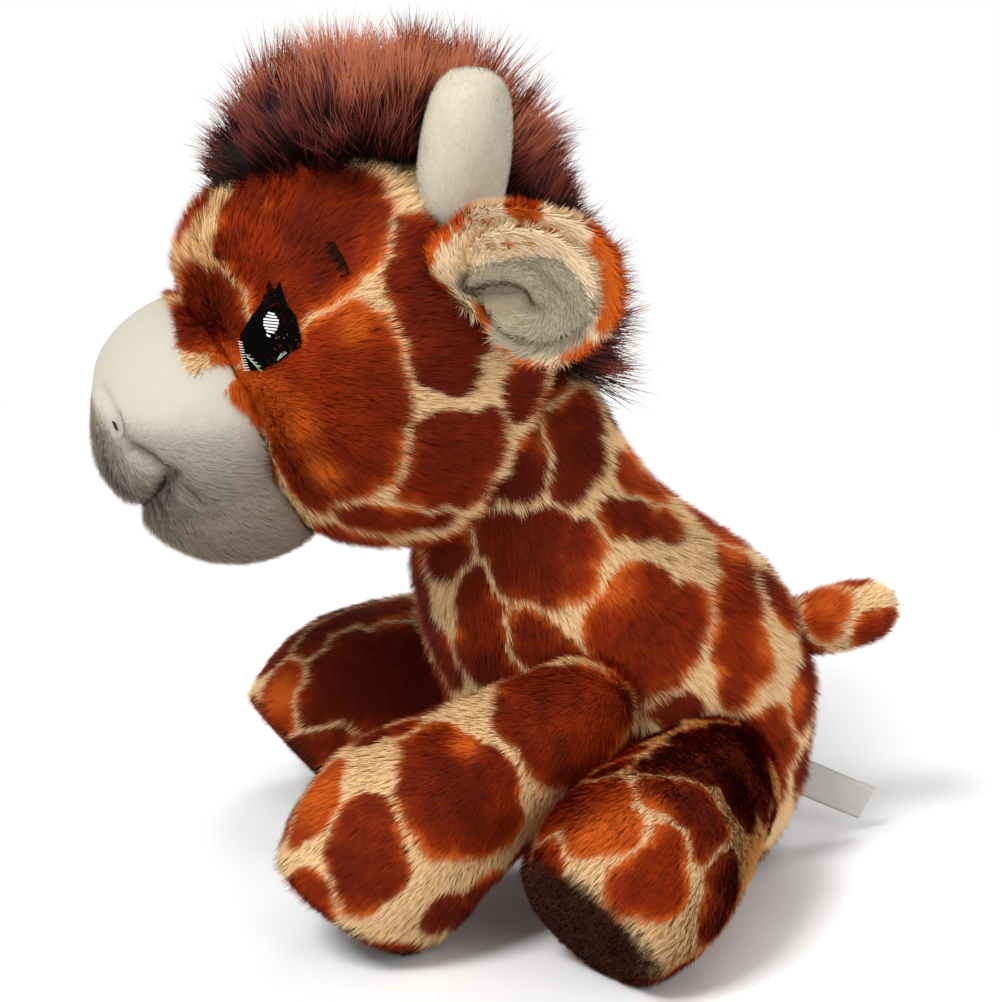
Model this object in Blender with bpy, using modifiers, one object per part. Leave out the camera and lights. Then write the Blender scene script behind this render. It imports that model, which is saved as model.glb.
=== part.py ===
"""Seated plush giraffe, built as fur fabric skins with their fillings.

The nose points along -Y, up is +Z and the giraffe's left side is +X.
The origin is on the ground at the middle of the seat, in the plane of symmetry.
"""
import math

import bmesh
import bpy
from mathutils import Matrix, Vector
from mathutils.bvhtree import BVHTree

# Driving dimensions, in metres. The stuffed forms are measured under the pile.
torso_height = 0.166
torso_depth = 0.124
torso_width = 0.098
neck_radius = 0.031
neck_lean = math.radians(21)

head_height = 0.118
head_depth = 0.122
head_width = 0.113

muzzle_width = 0.090
muzzle_depth = 0.074
muzzle_height = 0.080
jaw_width = 0.074
jaw_depth = 0.066
jaw_height = 0.052

horn_length = 0.045
horn_radius = 0.0140
horn_nod = math.radians(10)
ear_length = 0.060
ear_width = 0.056
ear_thickness = 0.008
ear_cup = 0.013
ear_root_radius = 0.0085
ear_flap = math.radians(20)
lining_thickness = 0.003
mane_width = 0.026
mane_height = 0.042

front_leg_length = 0.071
front_root_radius = 0.020
front_paw_radius = 0.0340
front_swing = math.radians(30)
hind_leg_length = 0.060
hind_root_radius = 0.0235
hind_foot_radius = 0.0325
hind_splay = math.radians(20)
tail_length = 0.032
tail_root_radius = 0.0108
tail_wag = math.radians(20)

fabric_thickness = 0.004
sole_thickness = 0.003
eye_height = 0.029
eye_width = 0.019
brow_length = 0.010
brow_width = 0.0022
nostril_length = 0.008
nostril_width = 0.0022
mouth_width = 0.034
stitch_thickness = 0.0012
label_length = 0.030
label_width = 0.0125
label_thickness = 0.0009
label_flop = math.radians(15)

seam_gap = 0.0004
flat_depth = 0.0005
turning_gap = 0.0008
relief_gap = 0.0016
overrun = 0.4
fine_ball_radius = 0.012
outline_reach = 0.022
weld_distance = 0.00004
narrowest = 0.001
frame_mark = 0.02
crease_angle = math.radians(40)

up = Vector((0, 0, 1))
across = Vector((1, 0, 0))
unit_half = 0.5
ring_sides = 10
inner_sides = 8
leaf_sides = 8
outline_turns = 12
# A turned cutter is read from the parent by rays between the axis and this angle
sweep_angle = math.radians(128)
sweep_steps = 11
sweep_sides = 20
sweep_rays = 48
tipping_rounds = 6


# Collections and materials
for old in list(bpy.data.objects):
    bpy.data.objects.remove(old)
scene_root = bpy.context.scene.collection
parts = bpy.data.collections.new("plush_giraffe")
cutters = bpy.data.collections.new("cutters")
scene_root.children.link(parts)
scene_root.children.link(cutters)


def fabric(name, colour, roughness=0.9):
    """One material a piece, a plain Principled surface."""
    made = bpy.data.materials.new(name)
    made.use_nodes = True
    surface = made.node_tree.nodes["Principled BSDF"]
    surface.inputs["Base Color"].default_value = (*colour, 1)
    surface.inputs["Roughness"].default_value = roughness
    surface.inputs["Metallic"].default_value = 0
    return made


# Making and cutting solids
def keep_as_mesh(bm, name):
    """A new working object in the cutters' collection."""
    bm.normal_update()
    bmesh.ops.recalc_face_normals(bm, faces=bm.faces)
    mesh = bpy.data.meshes.new(name)
    bm.to_mesh(mesh)
    bm.free()
    made = bpy.data.objects.new(name, mesh)
    made.hide_render = True
    made.display_type = "WIRE"
    cutters.objects.link(made)
    return made


def apply_modifiers(piece):
    """The piece's mesh becomes what its modifiers make of it."""
    graph = bpy.context.evaluated_depsgraph_get()
    mesh = bpy.data.meshes.new_from_object(piece.evaluated_get(graph))
    piece.modifiers.clear()
    piece.data = mesh


def split_into_triangles(piece):
    bm = bmesh.new()
    bm.from_mesh(piece.data)
    bmesh.ops.triangulate(bm, faces=bm.faces)
    bm.to_mesh(piece.data)
    bm.free()


def boolean(piece, other, operation):
    """Applies one Boolean of the piece with the other object."""
    step = piece.modifiers.new(operation.lower(), "BOOLEAN")
    step.operation = operation
    step.solver = "EXACT"
    step.object = other
    apply_modifiers(piece)
    split_into_triangles(piece)


def cut(piece, *others):
    for other in others:
        boolean(piece, other, "DIFFERENCE")
    return piece


def copy_of(piece, name):
    made = piece.copy()
    made.data = piece.data.copy()
    made.name = name
    cutters.objects.link(made)
    return made


def swollen(piece, distance, name):
    """A copy moved out along its normals by the distance."""
    made = copy_of(piece, name)
    push = made.modifiers.new("swell", "DISPLACE")
    push.strength = distance
    push.mid_level = 0
    apply_modifiers(made)
    return made


def thinned(piece, share, name):
    """A copy with only that share of the triangles."""
    made = copy_of(piece, name)
    thin = made.modifiers.new("thin", "DECIMATE")
    thin.ratio = share
    apply_modifiers(made)
    return made


def turned(piece, pivot, axis, angle, name):
    """A copy turned about an axis through the pivot."""
    made = copy_of(piece, name)
    turn = Matrix.Translation(pivot) @ Matrix.Rotation(angle, 4, axis) @ Matrix.Translation(-pivot)
    made.data.transform(turn)
    return made


def ball(centre, radius, name):
    """A faceted ball, finer where it is large."""
    bm = bmesh.new()
    bmesh.ops.create_icosphere(bm, subdivisions=3 if radius > fine_ball_radius else 2, radius=radius)
    bmesh.ops.translate(bm, verts=bm.verts, vec=centre)
    return keep_as_mesh(bm, name)


def half_space(point, normal, name):
    """A large box whose one face passes through the point, on the side the normal points to."""
    bm = bmesh.new()
    bmesh.ops.create_cube(bm, size=overrun)
    bmesh.ops.translate(bm, verts=bm.verts, vec=up * overrun / 2)
    bm.transform(Matrix.Translation(point) @ normal.to_track_quat("Z", "Y").to_matrix().to_4x4())
    return keep_as_mesh(bm, name)


def stacked_rings(count, sides):
    """A closed prism of unit rings, one at each whole height, each grown from the last."""
    bm = bmesh.new()
    bmesh.ops.create_circle(bm, cap_ends=False, radius=1, segments=sides)
    rim = list(bm.edges)
    for step in range(count - 1):
        grown = bmesh.ops.extrude_edge_only(bm, edges=rim)["geom"]
        bmesh.ops.translate(bm, verts=[v for v in grown if isinstance(v, bmesh.types.BMVert)], vec=up)
        rim = [e for e in grown if isinstance(e, bmesh.types.BMEdge)
               and all(round(v.co.z) == step + 1 for v in e.verts)]
    bmesh.ops.holes_fill(bm, edges=bm.edges, sides=sides)
    return bm


def soft_form(name, sections, sides=ring_sides, levels=1):
    """A closed cage of rings, rounded by Subdivision Surface.

    Each section is its centre, its two half axes as vectors and, for a cupped leaf, its lift.
    """
    bm = stacked_rings(len(sections), sides)
    # Catmull-Clark draws a ring in, so that the cage is made larger by the same share
    fullness = 1 / (0.75 + 0.25 * math.cos(math.tau / sides)) if levels else 1
    for vertex in bm.verts:
        centre, first, second, *lift = sections[round(vertex.co.z)]
        x = vertex.co.x
        y = vertex.co.y
        place = centre + (first * x + second * y) * fullness
        if lift:
            place += lift[0] * x * x
        vertex.co = place
    made = keep_as_mesh(bm, name)
    if levels:
        rounding = made.modifiers.new("rounding", "SUBSURF")
        rounding.levels = levels
        rounding.render_levels = levels
        apply_modifiers(made)
    split_into_triangles(made)
    return made


def profile_sections(rows, place):
    """Sections across the plane of symmetry, each between an inner and an outer point."""
    made = []
    for row in rows:
        near, far, half_width = place(row)
        made.append(((near + far) / 2, across * half_width, (far - near) / 2))
    return made


draw_limit_share = 0.7


def drawn_in(sections, distance):
    """The same sections drawn in by the distance, around and at both ends."""
    middle = (sections[0][0] + sections[-1][0]) / 2
    length = (sections[0][0] - sections[-1][0]).length
    shorter = 1 - 2 * distance / length
    return [
        (
            middle + (centre - middle) * shorter,
            first * (1 - min(distance / first.length, draw_limit_share)),
            second * (1 - min(distance / second.length, draw_limit_share)),
        )
        for centre, first, second in sections]


def lowest(piece):
    return min((piece.matrix_world @ v.co).z for v in piece.data.vertices)


def slide_up(piece, height):
    piece.data.transform(Matrix.Translation(up * height))


def surface_of(piece):
    return BVHTree.FromPolygons(
        [v.co for v in piece.data.vertices], [p.vertices for p in piece.data.polygons])


def seat_point(surface, aim, direction):
    """Where a line from outside towards the aim, along the direction, meets a form."""
    place, normal, index, distance = surface.ray_cast(aim - direction * overrun, direction)
    return place, normal


def turning_cutter(parent, pivot, axis, gap, name):
    """A solid of revolution about the axis that holds the parent's reach beside the pivot."""
    surface = surface_of(parent)
    side = axis.orthogonal().normalized()
    sections = []
    for step in range(sweep_steps, -1, -1):
        tilt = sweep_angle * step / sweep_steps
        reach = 0
        for nudge in (-unit_half, 0, unit_half):
            lean = sweep_angle * (step + nudge) / sweep_steps
            for turn in range(sweep_rays):
                spoke = Matrix.Rotation(math.tau * turn / sweep_rays, 3, axis) @ side
                ray = axis * math.cos(lean) + spoke * math.sin(lean)
                place, *rest = surface.ray_cast(pivot + ray * overrun, -ray)
                if place is not None:
                    reach = max(reach, (place - pivot).length)
        reach += gap
        radius = max(reach * math.sin(tilt), narrowest)
        sections.append((pivot + axis * reach * math.cos(tilt), side * radius, axis.cross(side) * radius))
    bm = stacked_rings(len(sections), sweep_sides)
    for vertex in bm.verts:
        centre, first, second = sections[round(vertex.co.z)]
        vertex.co = centre + first * vertex.co.x + second * vertex.co.y
    bmesh.ops.triangulate(bm, faces=bm.faces)
    return keep_as_mesh(bm, name)


def outline_prism(name, points, centre, facing, top):
    """A flat outline stood on a plane across the facing direction and drawn out both ways."""
    curve = bpy.data.curves.new(name, "CURVE")
    curve.dimensions = "2D"
    curve.fill_mode = "BOTH"
    curve.extrude = outline_reach
    line = curve.splines.new("POLY")
    line.points.add(len(points) - 1)
    for point, (x, y) in zip(line.points, points):
        point.co = (x, y, 0, 1)
    line.use_cyclic_u = True
    drawn = bpy.data.objects.new(name, curve)
    cutters.objects.link(drawn)
    graph = bpy.context.evaluated_depsgraph_get()
    mesh = bpy.data.meshes.new_from_object(drawn.evaluated_get(graph))
    bpy.data.objects.remove(drawn)
    bm = bmesh.new()
    bm.from_mesh(mesh)
    bmesh.ops.remove_doubles(bm, verts=bm.verts, dist=weld_distance)
    side = top.cross(facing).normalized()
    rise = facing.cross(side).normalized()
    frame = Matrix((side, rise, facing)).transposed().to_4x4()
    bm.transform(Matrix.Translation(centre) @ frame)
    bmesh.ops.triangulate(bm, faces=bm.faces)
    return keep_as_mesh(bm, name)


def patch_on(parent, name, points, centre, facing, top, lift):
    """A thin patch of embroidery that follows the parent's surface, lifted off it."""
    prism = outline_prism(name + "_outline", points, centre, facing, top)
    outer = swollen(parent, lift + stitch_thickness, name)
    boolean(outer, prism, "INTERSECT")
    cut(outer, swollen(parent, lift, name + "_bed"))
    return outer


# Bodies: an empty on each joint's axis carries the pieces that move with it
frames = {}


def body_frame(name, place, parent=None):
    made = bpy.data.objects.new(name, None)
    made.empty_display_size = frame_mark
    parts.objects.link(made)
    made.location = place
    if parent:
        made.parent = frames[parent][0]
        made.location = place - frames[parent][1]
    frames[name] = (made, place.copy())
    return made


def finish(piece, name, frame, material):
    """Names a finished solid, gives it its material and hangs it on its body's frame."""
    cutters.objects.unlink(piece)
    parts.objects.link(piece)
    piece.name = name
    piece.data.name = name
    piece.hide_render = False
    piece.display_type = "TEXTURED"
    holder, place = frames[frame]
    piece.data.transform(Matrix.Translation(-place))
    piece.parent = holder
    piece.data.materials.clear()
    piece.data.materials.append(material)
    piece.data.shade_smooth()
    piece.data.set_sharp_from_angle(angle=crease_angle)
    return piece


ground = half_space(Vector((0, 0, 0)), -up, "ground_cut")

# Torso and neck: shares of depth and height for the front and rear points, and of half width
torso_shares = [
    (-0.210, -0.003, 0.290, -0.003, 0.66),
    (-0.323, 0.030, 0.379, 0.030, 0.88),
    (-0.419, 0.120, 0.444, 0.120, 0.98),
    (-0.484, 0.241, 0.484, 0.241, 1.00),
    (-0.516, 0.361, 0.496, 0.361, 0.96),
    (-0.573, 0.482, 0.460, 0.482, 0.90),
    (-0.597, 0.572, 0.363, 0.596, 0.83),
    (-0.597, 0.651, 0.185, 0.687, 0.755),
    (-0.581, 0.729, 0.024, 0.771, 0.684),
]
neck_place_shares = (-0.347, 0.880)
neck_axis = Vector((0, -math.sin(neck_lean), math.cos(neck_lean)))
neck_rear = neck_axis.cross(across)
neck_pivot = Vector((0, neck_place_shares[0] * torso_depth, neck_place_shares[1] * torso_height))
neck_ring_shares = [(-0.42, 1.05), (0.0, 1.0), (0.26, 0.97), (0.52, 0.77), (0.68, 0.36)]


def torso_place(row):
    front_y, front_z, rear_y, rear_z, width = row
    front = Vector((0, front_y * torso_depth, front_z * torso_height))
    rear = Vector((0, rear_y * torso_depth, rear_z * torso_height))
    return front, rear, width * torso_width / 2


torso_sections = profile_sections(torso_shares, torso_place)
for along, wide in neck_ring_shares:
    torso_sections.append((
        neck_pivot + neck_axis * along * neck_radius,
        across * wide * neck_radius,
        neck_rear * wide * neck_radius))
torso_form = soft_form("torso_form", torso_sections)
torso_drop = -flat_depth - lowest(torso_form)
slide_up(torso_form, torso_drop)
torso_hollow = soft_form("torso_hollow", drawn_in(torso_sections, fabric_thickness), inner_sides, 0)
torso_core = soft_form("torso_core", drawn_in(torso_sections, fabric_thickness + seam_gap), inner_sides, 0)
slide_up(torso_hollow, torso_drop)
slide_up(torso_core, torso_drop)
torso_surface = surface_of(torso_form)

# Head: shares of depth, height and half width about its own centre
head_shares = [
    (-0.07, -0.500, 0.20, -0.500, 0.32),
    (-0.21, -0.475, 0.30, -0.475, 0.60),
    (-0.315, -0.382, 0.38, -0.382, 0.83),
    (-0.385, -0.229, 0.445, -0.229, 0.955),
    (-0.440, -0.059, 0.490, -0.059, 1.00),
    (-0.488, 0.110, 0.505, 0.110, 0.98),
    (-0.500, 0.254, 0.485, 0.254, 0.92),
    (-0.462, 0.373, 0.410, 0.373, 0.80),
    (-0.340, 0.458, 0.310, 0.458, 0.60),
    (-0.170, 0.500, 0.130, 0.500, 0.32),
]
head_on_neck_shares = (-0.381, 0.263)
head_centre = neck_pivot + Vector((
    0, head_on_neck_shares[0] * head_depth, head_on_neck_shares[1] * head_height))


def head_place(row):
    front_y, front_z, rear_y, rear_z, width = row
    front = head_centre + Vector((0, front_y * head_depth, front_z * head_height))
    rear = head_centre + Vector((0, rear_y * head_depth, rear_z * head_height))
    return front, rear, width * head_width / 2


head_sections = profile_sections(head_shares, head_place)
head_form = soft_form("head_form", head_sections)
head_hollow = soft_form("head_hollow", drawn_in(head_sections, fabric_thickness), inner_sides, 0)
head_core = soft_form("head_core", drawn_in(head_sections, fabric_thickness + seam_gap), inner_sides, 0)
head_surface = surface_of(head_form)
neck_cutter = turning_cutter(torso_form, neck_pivot, neck_axis, turning_gap, "neck_cutter")

# Muzzle: an upper lobe and a jaw lobe, each a rounded cage, joined along the mouth crease
lobe_shares = [(-1.0, 0.34), (-0.80, 0.67), (-0.35, 0.96), (0.20, 1.0), (0.85, 0.60)]


def lobe(name, centre, width, depth, height):
    """A rounded lobe, its rings set from the front to the back."""
    sections = []
    for along, wide in lobe_shares:
        sections.append((
            centre + Vector((0, along * depth / 2, 0)),
            across * wide * width / 2,
            up * wide * height / 2))
    return soft_form(name, sections)


muzzle_place_shares = (-0.425, -0.155)
jaw_place_shares = (-0.340, -0.365)
muzzle_centre = head_centre + Vector((
    0, muzzle_place_shares[0] * head_depth, muzzle_place_shares[1] * head_height))
jaw_centre = head_centre + Vector((
    0, jaw_place_shares[0] * head_depth, jaw_place_shares[1] * head_height))
muzzle_form = lobe("muzzle_form", muzzle_centre, muzzle_width, muzzle_depth, muzzle_height)
jaw_form = lobe("jaw_form", jaw_centre, jaw_width, jaw_depth, jaw_height)
boolean(muzzle_form, jaw_form, "UNION")
muzzle_surface = surface_of(muzzle_form)

body_frame("torso_frame", Vector((0, 0, 0)))
body_frame("head_frame", neck_pivot, "torso_frame")

# Legs: sections along a line from the root ball to the paw, turning to face the sole
front_root_shares = (-0.195, 0.400)
hind_root_shares = (0.130, 0.245)
root_ring_shares = [(-0.86, 0.36), (-0.60, 0.73), (0.0, 0.98)]
shin_ring_shares = [
    # along the leg, radius as a share of the root's, then of the paw's
    (0.30, 1.12, 0.0),
    (0.62, 0.45, 0.56),
]
paw_ring_shares = [(-0.15, 0.98), (0.42, 0.97), (0.80, 0.80), (1.02, 0.42)]
sole_plane_share = 0.70
front_standout_share = 0.35
hind_standout_share = 0.20
steepest_tip_share = 0.3
coarse_share = 0.4


def leg_sections(pivot, aim, sole_aim, length, root_radius, paw_radius):
    """Rings from inside the root ball to past the sole."""
    paw_centre = pivot + aim * length
    sections = []

    def ring(centre, normal, radius):
        first = up.cross(normal).normalized()
        second = normal.cross(first).normalized()
        sections.append((centre, first * radius, second * radius))

    for along, wide in root_ring_shares:
        ring(pivot + aim * along * root_radius, aim, wide * root_radius)
    for along, of_root, of_paw in shin_ring_shares:
        ring(pivot + aim * along * length, aim, of_root * root_radius + of_paw * paw_radius)
    half_way = (aim + sole_aim).normalized()
    for step, (along, wide) in enumerate(paw_ring_shares):
        facing = half_way if step == 0 else sole_aim
        ring(paw_centre + sole_aim * along * paw_radius, facing, wide * paw_radius)
    return sections, paw_centre


# A front leg swings up about the cross axis, a hind leg splays outward about the upright one
front_leg = dict(
    root=front_root_shares, standout=front_standout_share, swing=front_swing,
    length=front_leg_length, root_radius=front_root_radius, paw_radius=front_paw_radius)
hind_leg = dict(
    root=hind_root_shares, standout=hind_standout_share, swing=hind_splay,
    length=hind_leg_length, root_radius=hind_root_radius, paw_radius=hind_foot_radius)


def rooted_sections(root, aim, radius, length, rows):
    """Round rings from inside a root ball, placed by its radius, then along the length."""
    rings = [(along * radius, wide) for along, wide in root_ring_shares]
    rings += [(along * length, wide) for along, wide in rows]
    return [
        (root + aim * step, across * wide * radius, aim.cross(across) * wide * radius)
        for step, wide in rings]


leg_plans = {
    "front_leg_left": dict(
        front_leg, side=1, hinge=-across, aim=(0.26, -0.81, -0.53), sole=(-0.05, -0.47, -0.88)),
    "front_leg_right": dict(
        front_leg, side=-1, hinge=-across, aim=(-0.20, -0.83, -0.52), sole=(0.14, -0.68, -0.72)),
    "hind_leg_left": dict(
        hind_leg, side=1, hinge=up, aim=(0.80, -0.55, -0.20), sole=(0.45, -0.68, -0.58)),
    "hind_leg_right": dict(
        hind_leg, side=-1, hinge=-up, aim=(-0.80, -0.55, -0.20), sole=(-0.45, -0.68, -0.58)),
}
fur_brown = (0.46, 0.11, 0.03)
fur_orange = (0.62, 0.20, 0.05)
cream = (0.72, 0.66, 0.54)
filling_white = (0.88, 0.87, 0.84)
sole_brown = (0.09, 0.035, 0.018)
sockets = []

for name, plan in leg_plans.items():
    side = plan["side"]
    y_share, z_share = plan["root"]
    surface_at, normal = seat_point(
        torso_surface, Vector((0, y_share * torso_depth, z_share * torso_height)), Vector((-side, 0, 0)))
    pivot = surface_at + normal * plan["standout"] * plan["root_radius"]
    aim = Vector(plan["aim"]).normalized()
    sole_aim = Vector(plan["sole"]).normalized()
    sections, paw_centre = leg_sections(
        pivot, aim, sole_aim, plan["length"], plan["root_radius"], plan["paw_radius"])
    form = soft_form(name + "_form", sections)
    # The limb is tipped about its pivot until its lowest point is the flat's depth below the ground
    for attempt in range(tipping_rounds):
        miss = lowest(form) + flat_depth
        lever = math.hypot(paw_centre.y - pivot.y, paw_centre.x - pivot.x)
        step = -math.asin(max(-steepest_tip_share, min(steepest_tip_share, miss / lever)))
        tip_axis = Vector((paw_centre.y - pivot.y, pivot.x - paw_centre.x, 0)).normalized()
        tip = Matrix.Translation(pivot) @ Matrix.Rotation(step, 4, tip_axis) @ Matrix.Translation(-pivot)
        form.data.transform(tip)
        paw_centre = tip @ paw_centre
        sole_aim = (tip.to_3x3() @ sole_aim).normalized()
        sections = [
            (tip @ centre, tip.to_3x3() @ first, tip.to_3x3() @ second)
            for centre, first, second in sections]
    hollow = soft_form(name + "_hollow", drawn_in(sections, fabric_thickness), inner_sides, 0)
    core = soft_form(name + "_core", drawn_in(sections, fabric_thickness + seam_gap), inner_sides, 0)
    sole_at = paw_centre + sole_aim * sole_plane_share * plan["paw_radius"]
    past_sole = half_space(sole_at, sole_aim, name + "_sole_cut")
    past_pad = half_space(sole_at + sole_aim * (sole_thickness + seam_gap), sole_aim, name + "_pad_face")
    before_pad = half_space(sole_at + sole_aim * seam_gap, -sole_aim, name + "_pad_back")
    pad = copy_of(form, name + "_pad")
    cut(pad, past_pad, before_pad, ground)
    # Outside the root ball the limb stays clear of the torso, also at the far end of its swing
    root_ball = ball(pivot, plan["root_radius"], name + "_root_ball")
    relief = cut(swollen(torso_form, relief_gap, name + "_relief"), root_ball)
    coarse = thinned(relief, coarse_share, name + "_coarse")
    swung = turned(coarse, pivot, plan["hinge"], -plan["swing"], name + "_swung")
    skin = copy_of(form, name + "_skin")
    cut(skin, hollow, past_sole, relief, swung, ground)
    cut(core, past_sole, relief, swung)
    cut(core, half_space(sole_at - sole_aim * seam_gap, sole_aim, name + "_core_end"))
    sockets.append(ball(pivot, plan["root_radius"] + seam_gap, name + "_socket"))
    body_frame(name + "_frame", pivot, "torso_frame")
    finish(skin, name + "_skin", name + "_frame", fabric(name + "_fur", fur_brown))
    finish(core, name + "_filling", name + "_frame", fabric(name + "_fibre", filling_white))
    pad_name = name.replace("leg", "sole")
    finish(pad, pad_name, name + "_frame", fabric(pad_name + "_fleece", sole_brown, 0.95))

# Tail: a stuffed stub with its root ball in the rump
tail_root_shares = (0.0, 0.455)
tail_aim_shares = (0, 0.97, 0.22)
tail_ring_shares = [(0.42, 1.05), (0.72, 1.12), (0.95, 0.86), (1.04, 0.40)]
tail_at, tail_normal = seat_point(
    torso_surface,
    Vector((0, tail_root_shares[0] * torso_depth, tail_root_shares[1] * torso_height)),
    Vector((0, -1, 0)))
tail_aim = Vector(tail_aim_shares).normalized()
tail = soft_form("tail_form", rooted_sections(
    tail_at, tail_aim, tail_root_radius, tail_length, tail_ring_shares))
tail_ball = ball(tail_at, tail_root_radius + seam_gap * unit_half, "tail_ball")
tail_relief = cut(swollen(torso_form, seam_gap, "tail_relief"), tail_ball)
for angle in (-tail_wag, 0, tail_wag):
    cut(tail, turned(tail_relief, tail_at, up, angle, "tail_turn"))
sockets.append(ball(tail_at, tail_root_radius + seam_gap, "tail_socket"))
body_frame("tail_frame", tail_at, "torso_frame")
finish(tail, "tail", "tail_frame", fabric("tail_fur", fur_orange))

# Sewn label: a bare folded ribbon out of the seat seam
label_height_share = 0.145
label_aim_shares = (0, 0.88, -0.42)
label_bow_share = 2.0
label_bends = 10
label_at, label_normal = seat_point(
    torso_surface,
    Vector((0, 0, label_height_share * torso_height)),
    Vector((0, -1, 0)))
label_aim = Vector(label_aim_shares).normalized()
label_rise = label_aim.cross(across).normalized()
if label_rise.z < 0:
    label_rise = -label_rise
bm = bmesh.new()
bmesh.ops.create_grid(bm, x_segments=label_bends, y_segments=1, size=unit_half)
label_start = label_at + label_aim * (seam_gap + flat_depth)
for vertex in bm.verts:
    along = vertex.co.x + unit_half
    bow = math.sin(along * math.pi) * label_thickness * label_bow_share
    vertex.co = (
        label_start + label_aim * along * label_length
        + label_rise * vertex.co.y * label_width + across * bow)
label = keep_as_mesh(bm, "label_form")
thicken = label.modifiers.new("layers", "SOLIDIFY")
thicken.thickness = label_thickness
thicken.offset = 0
apply_modifiers(label)
split_into_triangles(label)
label_relief = swollen(torso_form, seam_gap, "label_relief")

for angle in (-label_flop, 0, label_flop):
    cut(label, turned(label_relief, label_at, label_rise, angle, "label_turn"))
body_frame("label_frame", label_at, "torso_frame")
finish(label, "seat_label", "label_frame", fabric("label_satin", (0.86, 0.86, 0.88), 0.35))

# The torso's skin and filling take the sockets
torso_skin = copy_of(torso_form, "torso_skin")
cut(torso_skin, torso_hollow, *sockets, ground)
cut(torso_core, *sockets, ground)
finish(torso_skin, "torso_skin", "torso_frame", fabric("torso_fur", fur_brown))
finish(torso_core, "torso_filling", "torso_frame", fabric("torso_fibre", filling_white))

# Horns: rounded stubs standing in the head, each tipping about its own root
head_sockets = []
horn_root_shares = (0.265, 0.215)
horn_ring_shares = [(0.355, 1.05), (0.677, 1.0), (0.903, 0.80), (1.0, 0.42)]
horn_outward_share = 0.16
horn_backward_share = 0.10
for side_name, side in (("left", 1), ("right", -1)):
    horn_at, horn_normal = seat_point(
        head_surface,
        head_centre + Vector((side * horn_root_shares[0] * head_width, horn_root_shares[1] * head_depth, 0)),
        Vector((0, 0, -1)))
    horn_aim = Vector((side * horn_outward_share, horn_backward_share, 1)).normalized()
    horn = soft_form("horn_" + side_name, rooted_sections(
        horn_at, horn_aim, horn_radius, horn_length, horn_ring_shares))
    horn_ball = ball(horn_at, horn_radius + seam_gap * unit_half, "horn_ball")
    relief = cut(swollen(head_form, seam_gap, "horn_relief"), horn_ball)
    for angle in (-horn_nod, 0, horn_nod):
        cut(horn, turned(relief, horn_at, across, angle, "horn_turn"))
    head_sockets.append(ball(horn_at, horn_radius + seam_gap, "horn_socket"))
    frame_name = "horn_" + side_name + "_frame"
    body_frame(frame_name, horn_at, "head_frame")
    finish(horn, "horn_" + side_name, frame_name, fabric("horn_pile_" + side_name, cream))

# Ears: cupped leaves with a pale lining, the root rounded into the head
ear_root_shares = (0.150, 0.280)
ear_lift_share = 0.2
ear_aim_shares = (0.58, 0.80, 0.06)
ear_lean_shares = (0.34, 0.0, 0.94)
ear_ring_shares = [
    # along the ear, half width and half thickness as shares, how much of the cup
    (-0.10, 0.10, 0.45, 0.0),
    (-0.05, 0.26, 0.90, 0.0),
    (0.07, 0.40, 1.05, 0.15),
    (0.22, 0.78, 1.00, 0.70),
    (0.45, 1.00, 0.95, 1.00),
    (0.68, 0.96, 0.90, 1.00),
    (0.88, 0.72, 0.80, 0.80),
    (1.00, 0.38, 0.55, 0.50),
]
lining_ring_shares = [
    (0.20, 0.30, 1.0, 0.30),
    (0.27, 0.52, 1.0, 0.60),
    (0.45, 0.76, 1.0, 1.00),
    (0.66, 0.74, 1.0, 1.00),
    (0.82, 0.54, 1.0, 0.90),
    (0.90, 0.30, 1.0, 0.70),
]


def leaf_sections(root, aim, rise, facing, rows, half_width, half_thickness, lift):
    sections = []
    for along, wide, thick, cupping in rows:
        sections.append((
            root + aim * along * ear_length + facing * lift,
            rise * wide * half_width,
            facing * thick * half_thickness,
            facing * cupping * ear_cup * (wide * half_width / (ear_width / 2)) ** 2))
    return sections


for side_name, side in (("left", 1), ("right", -1)):
    ear_at, ear_normal = seat_point(
        head_surface,
        head_centre + Vector((0, ear_root_shares[0] * head_depth, ear_root_shares[1] * head_height)),
        Vector((-side, 0, 0)))
    ear_at += ear_normal * ear_root_radius * ear_lift_share
    mirrored = Vector((side, 1, 1))
    aim = (Vector(ear_aim_shares) * mirrored).normalized()
    facing = aim.cross(Vector(ear_lean_shares) * mirrored).normalized() * side
    rise = facing.cross(aim).normalized()
    if rise.z < 0:
        rise = -rise
    ear = soft_form("ear_" + side_name, leaf_sections(
        ear_at, aim, rise, facing, ear_ring_shares, ear_width / 2, ear_thickness / 2, 0))
    lining = soft_form("lining_" + side_name, leaf_sections(
        ear_at, aim, rise, facing, lining_ring_shares, ear_width / 2, lining_thickness / 2,
        (ear_thickness + lining_thickness) / 2), leaf_sides)
    cut(lining, swollen(ear, seam_gap, "lining_bed"))
    ear_ball = ball(ear_at, ear_root_radius + seam_gap * unit_half, "ear_ball")
    relief = cut(swollen(head_form, seam_gap, "ear_relief"), ear_ball)
    for angle in (-ear_flap, 0, ear_flap):
        cut(ear, turned(relief, ear_at, rise, angle, "ear_turn"))
    head_sockets.append(ball(ear_at, ear_root_radius + seam_gap, "ear_socket"))
    frame_name = "ear_" + side_name + "_frame"
    body_frame(frame_name, ear_at, "head_frame")
    finish(ear, "ear_" + side_name, frame_name, fabric("ear_fur_" + side_name, fur_orange))
    finish(lining, "ear_lining_" + side_name, frame_name, fabric("ear_lining_pile_" + side_name, cream))

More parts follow.
